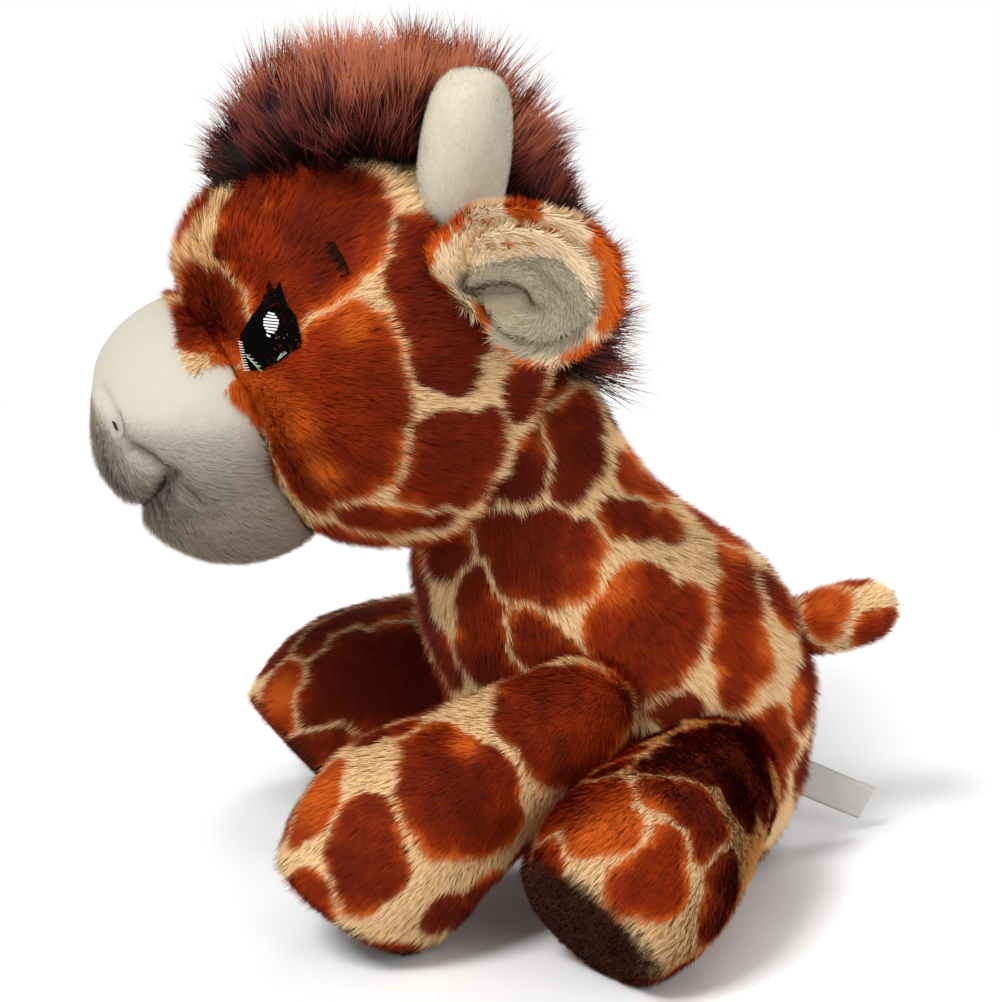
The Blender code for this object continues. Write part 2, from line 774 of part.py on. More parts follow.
# Mane: a crest over the head's middle seam and down to the neck
mane_shares = [
    # degrees back from upright, inner reach as a share of the head's half size, height and width
    (-47, 0.93, 0.10, 0.36),
    (-40, 0.93, 0.28, 0.66),
    (-24, 0.92, 0.64, 0.88),
    (-8, 0.92, 0.96, 1.00),
    (8, 0.92, 1.00, 1.00),
    (22, 0.92, 0.90, 1.00),
    (40, 0.92, 0.66, 1.00),
    (62, 0.92, 0.48, 0.92),
    (84, 0.92, 0.42, 0.84),
    (106, 1.00, 0.43, 0.66),
    (117, 1.10, 0.40, 0.32),
]


def mane_place(row):
    degrees, inner, height, width = row
    turn = math.radians(degrees)
    spoke = Vector((0, math.sin(turn) * head_depth / 2, math.cos(turn) * head_height / 2))
    crest = spoke + spoke.normalized() * height * mane_height
    return head_centre + spoke * inner, head_centre + crest, width * mane_width / 2


mane = soft_form("mane_form", profile_sections(mane_shares, mane_place), leaf_sides)
cut(mane, swollen(head_form, seam_gap, "mane_bed"), neck_cutter)
finish(mane, "mane", "head_frame", fabric("mane_pile", (0.26, 0.07, 0.045), 0.85))

# Muzzle on the head's front, and the head's own skin and filling
muzzle = copy_of(muzzle_form, "muzzle")
cut(muzzle, swollen(head_form, seam_gap, "muzzle_bed"), neck_cutter)
finish(muzzle, "muzzle", "head_frame", fabric("muzzle_pile", cream))
head_skin = copy_of(head_form, "head_skin")
cut(head_skin, head_hollow, neck_cutter, *head_sockets)
cut(head_core, neck_cutter, *head_sockets)
finish(head_skin, "head_skin", "head_frame", fabric("head_fur", fur_brown))
finish(head_core, "head_filling", "head_frame", fabric("head_fibre", filling_white))

# Embroidery on the face
thread_black = (0.012, 0.012, 0.014)
thread_white = (0.80, 0.80, 0.78)
eye_outline_shares = [
    (-0.50, -0.42), (-0.30, -0.49), (0.00, -0.46), (0.28, -0.34), (0.45, -0.14), (0.50, 0.04),
    (0.40, 0.20), (0.24, 0.31), (0.16, 0.36), (0.10, 0.50), (0.02, 0.36), (-0.06, 0.33),
    (-0.14, 0.46), (-0.18, 0.28), (-0.30, 0.14), (-0.42, -0.06), (-0.52, -0.26),
]
highlight_size_shares = (0.173, 0.24)
highlight_rise_share = 0.05
face_aim_shares = (0.86, -0.50, 0.05)
nose_aim_shares = (0.45, -1.0, 0.10)
eye_place_shares = (-0.275, 0.145)
brow_slope = math.radians(52)
mouth_drop_share = 0.335
brow_place_shares = (-0.110, 0.290)
nostril_place_shares = (0.29, 0.03)
brow_outline_shares = [
    (-0.50, 0.10), (-0.36, 0.42), (0.0, 0.50), (0.36, 0.36),
    (0.50, -0.12), (0.36, -0.30), (0.0, -0.30), (-0.36, -0.24)]
for side_name, side in (("left", 1), ("right", -1)):
    eye_at, eye_normal = seat_point(
        head_surface,
        head_centre + Vector((0, eye_place_shares[0] * head_depth, eye_place_shares[1] * head_height)),
        Vector((-side, 0, 0)))
    mirrored = Vector((side, 1, 1))
    eye_facing = (Vector(face_aim_shares) * mirrored).normalized()
    outline = [(x * eye_width * -side, y * eye_height) for x, y in eye_outline_shares]
    eye = patch_on(head_form, "eye_" + side_name, outline, eye_at, eye_facing, up, seam_gap)
    finish(eye, "eye_" + side_name, "head_frame", fabric("eye_thread_" + side_name, thread_black, 0.45))
    highlight_at = eye_at + up * highlight_rise_share * eye_height
    outline = []
    for turn in range(outline_turns):
        angle = math.tau * turn / outline_turns
        outline.append((
            math.cos(angle) * highlight_size_shares[0] * eye_height * unit_half,
            math.sin(angle) * highlight_size_shares[1] * eye_height * unit_half))
    highlight = patch_on(
        head_form, "eye_highlight_" + side_name, outline, highlight_at, eye_facing, up,
        seam_gap * 2 + stitch_thickness)
    finish(highlight, "eye_highlight_" + side_name, "head_frame",
           fabric("highlight_thread_" + side_name, thread_white, 0.4))
    brow_at, brow_normal = seat_point(
        head_surface,
        head_centre + Vector((0, brow_place_shares[0] * head_depth, brow_place_shares[1] * head_height)),
        Vector((-side, 0, 0)))
    slope = Matrix.Rotation(-brow_slope * side, 2)
    outline = [slope @ Vector((-side * x * brow_length, y * brow_width)) for x, y in brow_outline_shares]
    brow = patch_on(head_form, "brow_" + side_name, outline, brow_at, eye_facing, up, seam_gap)
    finish(brow, "brow_" + side_name, "head_frame", fabric("brow_thread_" + side_name, thread_black, 0.6))
    nostril_at, nostril_normal = seat_point(
        muzzle_surface,
        muzzle_centre + Vector((
            side * nostril_place_shares[0] * muzzle_width, 0, nostril_place_shares[1] * muzzle_height)),
        Vector((0, 1, 0)))
    nostril_facing = (Vector(nose_aim_shares) * mirrored).normalized()
    outline = [(y * nostril_width * side, x * nostril_length) for x, y in brow_outline_shares]
    nostril = patch_on(
        muzzle_form, "nostril_" + side_name, outline, nostril_at, nostril_facing, up, seam_gap)
    finish(nostril, "nostril_" + side_name, "head_frame",
           fabric("nostril_thread_" + side_name, (0.05, 0.05, 0.05), 0.6))

mouth_at, mouth_normal = seat_point(
    muzzle_surface, muzzle_centre - up * mouth_drop_share * muzzle_height, Vector((0, 1, 0)))
mouth_outline_shares = [
    (-0.50, 0.10), (-0.42, 0.04), (-0.22, -0.03), (0.0, -0.05), (0.22, -0.03), (0.42, 0.04), (0.50, 0.10),
    (0.48, 0.02), (0.42, -0.03), (0.22, -0.10), (0.0, -0.12), (-0.22, -0.10), (-0.42, -0.03), (-0.48, 0.02)]
outline = [(x * mouth_width, y * mouth_width) for x, y in mouth_outline_shares]
mouth = patch_on(muzzle_form, "mouth_stitch", outline, mouth_at, Vector((0, -1, 0)), up, seam_gap)
finish(mouth, "mouth_stitch", "head_frame", fabric("mouth_thread", (0.10, 0.09, 0.08), 0.6))

# Joint centres and axes, in metres
for frame_name, (holder, place) in frames.items():
    print(frame_name, [round(c, 5) for c in place])
print("neck axis", [round(c, 5) for c in neck_axis])
print("label axis", [round(c, 5) for c in label_rise])
print("right ear axis", [round(c, 5) for c in rise])
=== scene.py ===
import math

import bmesh
import bpy
import numpy as np
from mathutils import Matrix, Vector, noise
from mathutils.bvhtree import BVHTree


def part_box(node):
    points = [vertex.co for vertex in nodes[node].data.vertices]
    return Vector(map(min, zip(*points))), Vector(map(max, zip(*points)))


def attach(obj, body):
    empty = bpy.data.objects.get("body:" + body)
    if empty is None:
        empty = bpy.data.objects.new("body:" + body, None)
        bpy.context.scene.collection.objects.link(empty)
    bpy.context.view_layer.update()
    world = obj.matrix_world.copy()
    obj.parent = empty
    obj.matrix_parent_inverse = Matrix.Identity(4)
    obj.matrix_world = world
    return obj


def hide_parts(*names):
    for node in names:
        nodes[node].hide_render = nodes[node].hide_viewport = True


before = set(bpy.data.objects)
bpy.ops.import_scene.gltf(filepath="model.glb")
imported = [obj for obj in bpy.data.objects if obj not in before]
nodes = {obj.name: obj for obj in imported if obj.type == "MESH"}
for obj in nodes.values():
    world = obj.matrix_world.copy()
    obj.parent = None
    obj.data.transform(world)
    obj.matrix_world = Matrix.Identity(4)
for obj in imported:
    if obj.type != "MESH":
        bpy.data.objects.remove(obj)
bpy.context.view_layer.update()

mm = 0.001

camera = {
    "azimuth": 82,
    "elevation": 15,
    "distance": 900 * mm,
    "target": Vector((0, -46 * mm, 124 * mm)),
    "pixelAtTarget": 0.33 * mm,
    "width": 1000,
    "height": 1002,
    "sensor": 36,
}

looks = bpy.data.collections.new("giraffeLooks")
bpy.context.scene.collection.children.link(looks)


# small mesh tools

def pointsOf(mesh):
    flat = np.empty(len(mesh.vertices) * 3, np.float32)
    mesh.vertices.foreach_get("co", flat)
    return flat.reshape(-1, 3).astype(float)


def movePoints(mesh, points):
    mesh.vertices.foreach_set("co", points.astype(np.float32).ravel())
    mesh.update()


floorGap = 0.25 * mm


def keepOffFloor(mesh):
    points = pointsOf(mesh)
    points[:, 2] = np.maximum(points[:, 2], floorGap)
    movePoints(mesh, points)
    return points


def normalsOf(mesh):
    flat = np.empty(len(mesh.vertices) * 3, np.float32)
    mesh.vertex_normals.foreach_get("vector", flat)
    return flat.reshape(-1, 3).astype(float)


def unit(vectors):
    vectors = np.asarray(vectors, float)
    size = np.linalg.norm(vectors, axis=-1, keepdims=True)
    return vectors / np.maximum(size, 1e-12)


def ramp(values, low, high):
    share = np.clip((values - low) / (high - low), 0, 1)
    return share * share * (3 - 2 * share)


def shown(name, mesh):
    obj = bpy.data.objects.new(name, mesh)
    looks.objects.link(obj)
    return obj


def madeFrom(name, points, faces):
    mesh = bpy.data.meshes.new(name)
    mesh.from_pydata([tuple(p) for p in points], [], faces)
    mesh.validate()
    mesh.update()
    return shown(name, mesh)


def applied(obj):
    # turns the evaluated object into its own plain mesh
    graph = bpy.context.evaluated_depsgraph_get()
    mesh = bpy.data.meshes.new_from_object(
        obj.evaluated_get(graph), preserve_all_data_layers=True, depsgraph=graph
    )
    obj.modifiers.clear()
    obj.data = mesh
    return obj


def smoothShaded(obj):
    obj.data.polygons.foreach_set("use_smooth", [True] * len(obj.data.polygons))
    return obj


def writeAttribute(mesh, name, values, kind="FLOAT"):
    old = mesh.attributes.get(name)
    if old:
        mesh.attributes.remove(old)
    made = mesh.attributes.new(name, kind, "POINT")
    made.data.foreach_set("vector" if kind == "FLOAT_VECTOR" else "value",
                          np.asarray(values, np.float32).ravel())


def readAttribute(mesh, name, parts=1):
    found = mesh.attributes[name]
    flat = np.empty(len(found.data) * parts, np.float32)
    found.data.foreach_get("vector" if parts == 3 else "value", flat)
    return flat.reshape(-1, parts).astype(float) if parts > 1 else flat.astype(float)


def treeOf(obj):
    mesh = obj.data
    return BVHTree.FromPolygons([v.co for v in mesh.vertices], [p.vertices[:] for p in mesh.polygons])


def largestPart(mesh):
    # leaves only the outside of a mesh that may enclose other surfaces
    shell = bmesh.new()
    shell.from_mesh(mesh)
    waiting, islands = set(shell.verts), []
    while waiting:
        reached = [waiting.pop()]
        island = list(reached)
        while reached:
            for edge in reached.pop().link_edges:
                for vert in edge.verts:
                    if vert in waiting:
                        waiting.discard(vert)
                        reached.append(vert)
                        island.append(vert)
        islands.append(island)

    def reach(island):
        spot = np.array([v.co[:] for v in island])
        return float(np.prod(np.ptp(spot, axis=0) + mm))

    islands.sort(key=reach)
    for island in islands[:-1]:
        bmesh.ops.delete(shell, geom=island, context="VERTS")
    shell.to_mesh(mesh)
    shell.free()


def stuffedForm(name, parts, voxel=2.6 * mm, smoothing=6, swell=0.0, levels=0, weld=0.02 * mm):
    # a rounded, evenly meshed copy of a stuffed piece's outside, to sew and to grow pile on
    both = bmesh.new()
    for part in parts:
        both.from_mesh(nodes[part].data)
    bmesh.ops.remove_doubles(both, verts=both.verts, dist=weld)
    mesh = bpy.data.meshes.new(name)
    both.to_mesh(mesh)
    both.free()
    obj = shown(name, mesh)
    remesh = obj.modifiers.new("even", "REMESH")
    remesh.mode = "VOXEL"
    remesh.voxel_size = voxel
    relax = obj.modifiers.new("soft", "SMOOTH")
    relax.factor = 0.5
    relax.iterations = smoothing
    if levels:
        fine = obj.modifiers.new("fine", "SUBSURF")
        fine.levels = fine.render_levels = levels
    applied(obj)
    largestPart(obj.data)
    if swell:
        movePoints(obj.data, pointsOf(obj.data) + normalsOf(obj.data) * swell)
    return smoothShaded(obj)


# the camera, and pixels of the photograph cast onto the forms

def cameraAxes():
    turn, rise = math.radians(camera["azimuth"]), math.radians(camera["elevation"])
    back = Vector((math.sin(turn) * math.cos(rise), -math.cos(turn) * math.cos(rise), math.sin(rise)))
    right = Vector((math.cos(turn), math.sin(turn), 0))
    return back, right, back.cross(right)


cameraBack, cameraRight, cameraUp = cameraAxes()
cameraPlace = camera["target"] + cameraBack * camera["distance"]
focalPixels = camera["distance"] / camera["pixelAtTarget"]

lensData = bpy.data.cameras.new("studioCamera")
lensData.sensor_width = camera["sensor"]
lensData.lens = focalPixels / camera["height"] * camera["sensor"]
lensData.clip_start = 0.02
lensData.clip_end = 50
studioCamera = bpy.data.objects.new("studioCamera", lensData)
studioCamera.location = cameraPlace
studioCamera.rotation_mode = "QUATERNION"
studioCamera.rotation_quaternion = (-cameraBack).to_track_quat("-Z", "Y")
bpy.context.scene.collection.objects.link(studioCamera)
bpy.context.scene.camera = studioCamera


def throughPixel(across, down):
    offset = cameraRight * (across - camera["width"] / 2) - cameraUp * (down - camera["height"] / 2)
    return (offset / focalPixels - cameraBack).normalized()


def onForm(tree, across, down):
    # where the ray through a pixel first meets a form, or the form's nearest point to it
    ray = throughPixel(across, down)
    place, normal, index, far = tree.ray_cast(cameraPlace, ray)
    if place is None:
        aim = cameraPlace + ray * camera["distance"]
        for step in range(4):
            place, normal, index, far = tree.find_nearest(aim)
            aim = cameraPlace + ray * (place - cameraPlace).dot(ray)
    return place, normal


# node graphs written as sums

class Wire:
    # a socket that can stand in a sum; the sum adds the Math nodes
    def __init__(self, graph, socket):
        self.graph = graph
        self.socket = socket

    def other(self, name):
        return Wire(self.graph, self.graph.output(self.socket.node, name))

    def sum(self, operation, first, second):
        vector = any(isinstance(x, Wire) and x.socket.type in ("VECTOR", "RGBA") for x in (first, second))
        kind = "ShaderNodeVectorMath" if vector else "ShaderNodeMath"
        return self.graph.add(kind, {"operation": operation}, {0: first, 1: second})

    def __add__(self, other):
        return self.sum("ADD", self, other)

    def __radd__(self, other):
        return self.sum("ADD", other, self)

    def __sub__(self, other):
        return self.sum("SUBTRACT", self, other)

    def __rsub__(self, other):
        return self.sum("SUBTRACT", other, self)

    def __mul__(self, other):
        return self.sum("MULTIPLY", self, other)

    def __rmul__(self, other):
        return self.sum("MULTIPLY", other, self)

    def __truediv__(self, other):
        return self.sum("DIVIDE", self, other)


class Graph:
    def __init__(self, tree):
        self.tree = tree

    def output(self, node, name):
        return next(s for s in node.outputs if s.enabled and (name is None or s.name == name))

    def add(self, kind, settings=None, values=None, out=None):
        node = self.tree.nodes.new(kind)
        for key, value in (settings or {}).items():
            if key == "stops":
                for number, (place, colour) in enumerate(value):
                    ends = node.color_ramp.elements
                    stop = ends[number] if number < 2 else ends.new(place)
                    stop.position = place
                    stop.color = colour
            else:
                setattr(node, key, value)
        for key, value in (values or {}).items():
            enabled = [s for s in node.inputs if s.enabled]
            socket = enabled[key] if isinstance(key, int) else next(s for s in enabled if s.name == key)
            if isinstance(value, Wire):
                self.tree.links.new(value.socket, socket)
            elif hasattr(socket.default_value, "__len__") and not hasattr(value, "__len__"):
                socket.default_value = (value,) * len(socket.default_value)
            else:
                socket.default_value = value
        return Wire(self, self.output(node, out)) if node.outputs else node

    def mix(self, share, first, second):
        return self.add("ShaderNodeMix", {"data_type": "RGBA"}, {"Factor": share, "A": first, "B": second})

    def smooth(self, value, low, high):
        return self.add("ShaderNodeMapRange", {"interpolation_type": "SMOOTHSTEP"},
                        {"Value": value, "From Min": low, "From Max": high})

    def attribute(self, name):
        return self.add("ShaderNodeAttribute", {"attribute_name": name}, out="Fac")

    def vector(self, operation, first, second=None):
        values = {0: first} if second is None else {0: first, 1: second}
        return self.add("ShaderNodeVectorMath", {"operation": operation}, values)

    def place(self):
        return self.add("ShaderNodeTexCoord", None, None, out="Object")

    def cloud(self, place, scale, detail, **more):
        return self.add("ShaderNodeTexNoise", None, {"Vector": place, "Scale": scale, "Detail": detail, **more},
                        out="Fac")

    def shaded(self, colour, by):
        return self.add("ShaderNodeMix", {"data_type": "RGBA", "blend_type": "MULTIPLY"},
                        {"Factor": 1.0, "A": colour, "B": by})

    def grey(self, level):
        return self.add("ShaderNodeCombineColor", None, {0: level, 1: level, 2: level})

    def bump(self, height, strength, distance):
        return self.add("ShaderNodeBump", None, {"Strength": strength, "Distance": distance, "Height": height})


def paint(red, green, blue):
    # a colour as it is seen on a screen, as the linear one that a shader takes
    def linear(level):
        level /= 255
        return level / 12.92 if level <= 0.04045 else ((level + 0.055) / 1.055) ** 2.4
    return (linear(red), linear(green), linear(blue), 1)


# the pile: one tree grows every kind of fur from a form

strandShapes = {
    # rows of (share along the strand, share of its width)
    "spike": [(0, 1)],
    "blade": [(0, 1), (0.5, 0.8)],
    "lock": [(0, 0.8), (0.35, 1), (0.7, 0.7)],
}


def strandShape(name):
    points, alongs, sides = [], [], []
    for along, width in strandShapes[name]:
        for side in (-1, 1):
            points.append((side * width, along, 0))
            alongs.append(along)
            sides.append(side * width)
    points.append((0, 1, 0))
    alongs.append(1)
    sides.append(0)
    rows = len(strandShapes[name])
    faces = [(2 * r, 2 * r + 1, 2 * r + 3, 2 * r + 2) for r in range(rows - 1)]
    faces.append((2 * rows - 2, 2 * rows - 1, 2 * rows))
    obj = madeFrom("strand" + name.capitalize(), points, faces)
    writeAttribute(obj.data, "along", alongs)
    writeAttribute(obj.data, "side", sides)
    obj.hide_render = True
    return obj


strands = {name: strandShape(name) for name in strandShapes}


pileInputs = {
    # socket: the style's name for it
    "Clump size": "clump", "Clump pull": "pull", "Clump tilt": "tilt", "Frizz": "frizz", "Wave size": "waveSize",
    "Wave": "wave", "Curve": "curve", "Length spread": "spread",
}
strandKnee = 0.55  # share of a strand's length at which it bends
strandTwist = 0.45  # how far strands turn from the cloth's own facing
chanceSeeds = {"frizz": 11, "pick": 23, "turn": 37}


def makePileTree():
    tree = bpy.data.node_groups.new("pile", "GeometryNodeTree")
    face = tree.interface
    face.new_socket("Form", in_out="INPUT", socket_type="NodeSocketGeometry")
    for name in ("Strands", "Width", *pileInputs):
        face.new_socket(name, in_out="INPUT", socket_type="NodeSocketFloat")
    face.new_socket("Seed", in_out="INPUT", socket_type="NodeSocketInt")
    face.new_socket("Strand", in_out="INPUT", socket_type="NodeSocketObject")
    face.new_socket("Material", in_out="INPUT", socket_type="NodeSocketMaterial")
    face.new_socket("Pile", in_out="OUTPUT", socket_type="NodeSocketGeometry")
    graph = Graph(tree)
    given = graph.add("NodeGroupInput")

    def named(name, kind="FLOAT"):
        return graph.add("GeometryNodeInputNamedAttribute", {"data_type": kind}, {"Name": name})

    def keep(geometry, name, value, kind="FLOAT"):
        return graph.add("GeometryNodeStoreNamedAttribute", {"data_type": kind, "domain": "POINT"},
                         {"Geometry": geometry, "Name": name, "Value": value})

    def chance(low, high, seed, kind="FLOAT"):
        return graph.add("FunctionNodeRandomValue", {"data_type": kind},
                         {"Min": low, "Max": high, "Seed": seed})

    spread = graph.add("GeometryNodeDistributePointsOnFaces", {"distribute_method": "RANDOM"},
                       {"Mesh": given, "Density": given.other("Strands") * named("cover"),
                        "Seed": given.other("Seed")})
    up = spread.other("Normal")
    root = graph.add("GeometryNodeInputPosition")
    cell = graph.add("ShaderNodeTexVoronoi", {"voronoi_dimensions": "3D", "feature": "F1"},
                     {"Vector": root / given.other("Clump size"), "Scale": 1.0}, out="Position")
    toClump = cell * given.other("Clump size") - root
    toClump = toClump - up * graph.vector("DOT_PRODUCT", toClump, up).other("Value")
    tilt = (cell.other("Color") - (0.5, 0.5, 0.5)) * given.other("Clump tilt")
    drift = graph.add("ShaderNodeTexNoise", {"noise_dimensions": "3D"},
                      {"Vector": root / given.other("Wave size"), "Scale": 1.0, "Detail": 2.0}, out="Color")
    drift = (drift - (0.5, 0.5, 0.5)) * 2.0
    frizz = chance((-1, -1, -1), (1, 1, 1), chanceSeeds["frizz"], "FLOAT_VECTOR") * given.other("Frizz")
    pick = chance(0.0, 1.0, chanceSeeds["pick"])
    flow = named("flow", "FLOAT_VECTOR")
    aim = graph.vector("NORMALIZE", up + flow + tilt + frizz + drift * given.other("Wave"))
    long = named("pile") * (1.0 + given.other("Length spread") * (pick - 0.5))
    tip = root + aim * long + toClump * given.other("Clump pull")
    knee = root + (up * (1.0 - given.other("Curve")) + aim * given.other("Curve")) * long * strandKnee
    leaning = tip - root
    turn = chance((-1, -1, -1), (1, 1, 1), chanceSeeds["turn"], "FLOAT_VECTOR")
    side = graph.vector("CROSS_PRODUCT", leaning, up + turn * strandTwist)
    side = graph.vector("NORMALIZE", side)
    facing = graph.vector("DOT_PRODUCT", graph.vector("CROSS_PRODUCT", side, leaning), up).other("Value")
    facing = graph.add("ShaderNodeMath", {"operation": "SIGN"}, {0: facing + 1e-9})
    side = side * facing * given.other("Width") * 0.5
    # every value that follows a strand is kept on its point before the strand is placed
    made = keep(spread, "pick", pick)
    for name, value in (("up", up), ("tip", tip), ("knee", knee), ("blade", side), ("drift", drift), ("root", root)):
        made = keep(made, name, value, "FLOAT_VECTOR")
    shape = graph.add("GeometryNodeObjectInfo", None, {"Object": given.other("Strand")}, out="Geometry")
    made = graph.add("GeometryNodeInstanceOnPoints", None, {"Points": made, "Instance": shape})
    made = graph.add("GeometryNodeRealizeInstances", None, {"Geometry": made})
    along = named("along")
    rest = 1.0 - along
    path = (named("root", "FLOAT_VECTOR") * rest * rest
            + named("knee", "FLOAT_VECTOR") * rest * along * 2.0
            + named("tip", "FLOAT_VECTOR") * along * along
            + named("blade", "FLOAT_VECTOR") * named("side"))
    made = graph.add("GeometryNodeSetPosition", None, {"Geometry": made, "Position": path})
    made = graph.add("GeometryNodeSetMaterial", None, {"Geometry": made, "Material": given.other("Material")})
    graph.add("NodeGroupOutput", None, {"Pile": made})
    return tree


pileTree = makePileTree()


def giveTree(obj, tree, values):
    modifier = obj.modifiers.new(tree.name, "NODES")
    modifier.node_group = tree
    for item in tree.interface.items_tree:
        if item.item_type == "SOCKET" and item.in_out == "INPUT" and item.name in values:
            modifier[item.identifier] = values[item.name]
    return modifier


def growPile(name, form, style, material, body, patches=None, share=None, retint=None):
    # grows one plain mesh of strands on a form; share is a mask for a part of the form
    source = form.copy()
    source.data = form.data.copy()
    looks.objects.link(source)
    source.name = name
    if share is not None:
        writeAttribute(source.data, "cover", readAttribute(source.data, "cover") * share)
    thinner = 1.0
    giveTree(source, pileTree, {
        "Strands": style["perSquareMm"] * 1e6 * thinner,
        "Width": style["width"] / math.sqrt(thinner),
        **{socket: style[key] for socket, key in pileInputs.items()},
        "Seed": style["seed"],
        "Strand": strands[style["strand"]],
        "Material": material,
    })
    applied(source)
    mesh = source.data
    mesh.name = name
    perStrand = 2 * len(strandShapes[style["strand"]]) + 1
    points = keepOffFloor(mesh)
    root = readAttribute(mesh, "root", 3)[::perStrand]
    drift = readAttribute(mesh, "drift", 3)[::perStrand]
    if patches is not None:
        edge, tone = patchField(root, drift, patches)
        if retint:
            tone = retint(edge, tone)
        writeAttribute(mesh, "edge", np.repeat(edge, perStrand))
        writeAttribute(mesh, "tone", np.repeat(tone, perStrand))
    # soft light: a strand takes most of its normal from the cloth that it stands on
    up = readAttribute(mesh, "up", 3)
    corner = points.reshape(-1, perStrand, 3)
    across = corner[:, 1] - corner[:, 0]
    rising = corner[:, -1] - corner[:, 0]
    face = np.repeat(unit(np.cross(across, rising)), perStrand, axis=0)
    normal = unit(up * (1 - style["ownNormal"]) + face * style["ownNormal"])
    smoothShaded(source)
    mesh.normals_split_custom_set_from_vertices(normal)
    giveCells(mesh, perStrand)
    for unused in ("root", "tip", "knee", "blade", "drift", "up", "flow", "cover", "pile", "side"):
        if unused in mesh.attributes:
            mesh.attributes.remove(mesh.attributes[unused])
    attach(source, body)
    print(name, len(corner), "strands")
    return source


cellHalf, cellFoot, cellRise = 0.42, 0.08, 0.84  # shares of its cell that a strand fills


def giveCells(mesh, perStrand):
    # a map on which each strand has a cell of its own
    cornerPoint = np.empty(len(mesh.loops), np.int32)
    mesh.loops.foreach_get("vertex_index", cornerPoint)
    along = readAttribute(mesh, "along")[cornerPoint]
    side = readAttribute(mesh, "side")[cornerPoint]
    cell = cornerPoint // perStrand
    count = int(cell.max()) + 1 if len(cell) else 1
    rows = math.ceil(math.sqrt(count))
    place = np.stack([cell % rows + 0.5 + side * cellHalf, cell // rows + cellFoot + along * cellRise], 1) / rows
    layer = mesh.uv_layers.new(name="OFBake")
    layer.data.foreach_set("uv", place.astype(np.float32).ravel())


# sewn threads: each row of points becomes one laid thread

def makeThreadTree():
    tree = bpy.data.node_groups.new("thread", "GeometryNodeTree")
    face = tree.interface
    face.new_socket("Rows", in_out="INPUT", socket_type="NodeSocketGeometry")
    face.new_socket("Thickness", in_out="INPUT", socket_type="NodeSocketFloat")
    face.new_socket("Sides", in_out="INPUT", socket_type="NodeSocketInt")
    face.new_socket("Material", in_out="INPUT", socket_type="NodeSocketMaterial")
    face.new_socket("Threads", in_out="OUTPUT", socket_type="NodeSocketGeometry")
    graph = Graph(tree)
    given = graph.add("NodeGroupInput")
    line = graph.add("GeometryNodeMeshToCurve", None, {"Mesh": given})
    share = graph.add("GeometryNodeSplineParameter", None, None, out="Factor")
    # a thread dips into the cloth at both ends
    swell = graph.add("ShaderNodeMath", {"operation": "POWER"}, {0: share * (1.0 - share) * 4.0 + 0.02, 1: 0.35})
    pick = graph.add("FunctionNodeRandomValue", {"data_type": "FLOAT"}, {"Min": 0.0, "Max": 1.0, "Seed": 5})
    line = graph.add("GeometryNodeStoreNamedAttribute", {"data_type": "FLOAT", "domain": "CURVE"},
                     {"Geometry": line, "Name": "pick", "Value": pick})
    line = graph.add("GeometryNodeSetCurveRadius", None, {"Curve": line, "Radius": swell})
    ring = graph.add("GeometryNodeCurvePrimitiveCircle", None,
                     {"Resolution": given.other("Sides"), "Radius": given.other("Thickness") * 0.5})
    tube = graph.add("GeometryNodeCurveToMesh", None, {"Curve": line, "Profile Curve": ring, "Fill Caps": True})
    tube = graph.add("GeometryNodeRealizeInstances", None, {"Geometry": tube})
    tube = graph.add("GeometryNodeSetMaterial", None, {"Geometry": tube, "Material": given.other("Material")})
    graph.add("NodeGroupOutput", None, {"Threads": tube})
    return tree


threadTree = makeThreadTree()


def sew(name, rows, thickness, material, body, replaced=(), sides=6):
    points = [p for row in rows for p in row]
    edges, start = [], 0
    for row in rows:
        edges += [(start + n, start + n + 1) for n in range(len(row) - 1)]
        start += len(row)
    mesh = bpy.data.meshes.new(name)
    mesh.from_pydata([tuple(p) for p in points], edges, [])
    obj = shown(name, mesh)
    giveTree(obj, threadTree, {"Thickness": thickness, "Sides": sides, "Material": material})
    applied(obj)
    smoothShaded(obj)
    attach(obj, body)
    if replaced:
        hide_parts(*replaced)
    print(name, len(rows), "threads")
    return obj


def laidRow(tree, start, end, lift, count=7, arch=0.25 * mm):
    # points of one thread between two pixels, lying on a form
    row = []
    for step in range(count):
        share = step / (count - 1)
        place, normal = onForm(tree, start[0] + (end[0] - start[0]) * share, start[1] + (end[1] - start[1]) * share)
        row.append(place + normal * (lift + arch * math.sin(math.pi * share)))
    return row


def satinRows(tree, outline, degrees, spacing, lift, arch=0.25 * mm, jitter=0.0, seed=0):
    # closely laid threads that fill an outline drawn in pixels
    chance = np.random.default_rng(seed)
    along = np.array((math.cos(math.radians(degrees)), math.sin(math.radians(degrees))))
    step = np.array((-along[1], along[0]))
    corners = np.array(outline, float)
    side, run = corners @ step, corners @ along
    rows = []
    level = side.min() + spacing / 2
    while level < side.max():
        crossings = []
        for n in range(len(corners)):
            a, b = side[n - 1], side[n]
            if (a - level) * (b - level) < 0:
                crossings.append(run[n - 1] + (run[n] - run[n - 1]) * (level - a) / (b - a))
        crossings.sort()
        for low, high in zip(crossings[::2], crossings[1::2]):
            low, high = low - chance.uniform(0, jitter), high + chance.uniform(0, jitter)
            rows.append(laidRow(tree, along * low + step * level, along * high + step * level, lift, arch=arch))
        level += spacing
    return rows


def mirroredRows(rows):
    return [[Vector((-p[0], p[1], p[2])) for p in row] for row in rows]


# the patches of the cloth

placesAtOnce = 20000
# painted light: tone and spread of the lighter orange spots where the pile catches the light
paintedLightTone = -0.35
paintedLightSpread = 1.3
mostFillings = 80  # patches that one form may get where none is drawn
fillingGap = 1.6 * mm
seenFacing = 0.15  # how far a place faces the camera where the photograph shows its patch


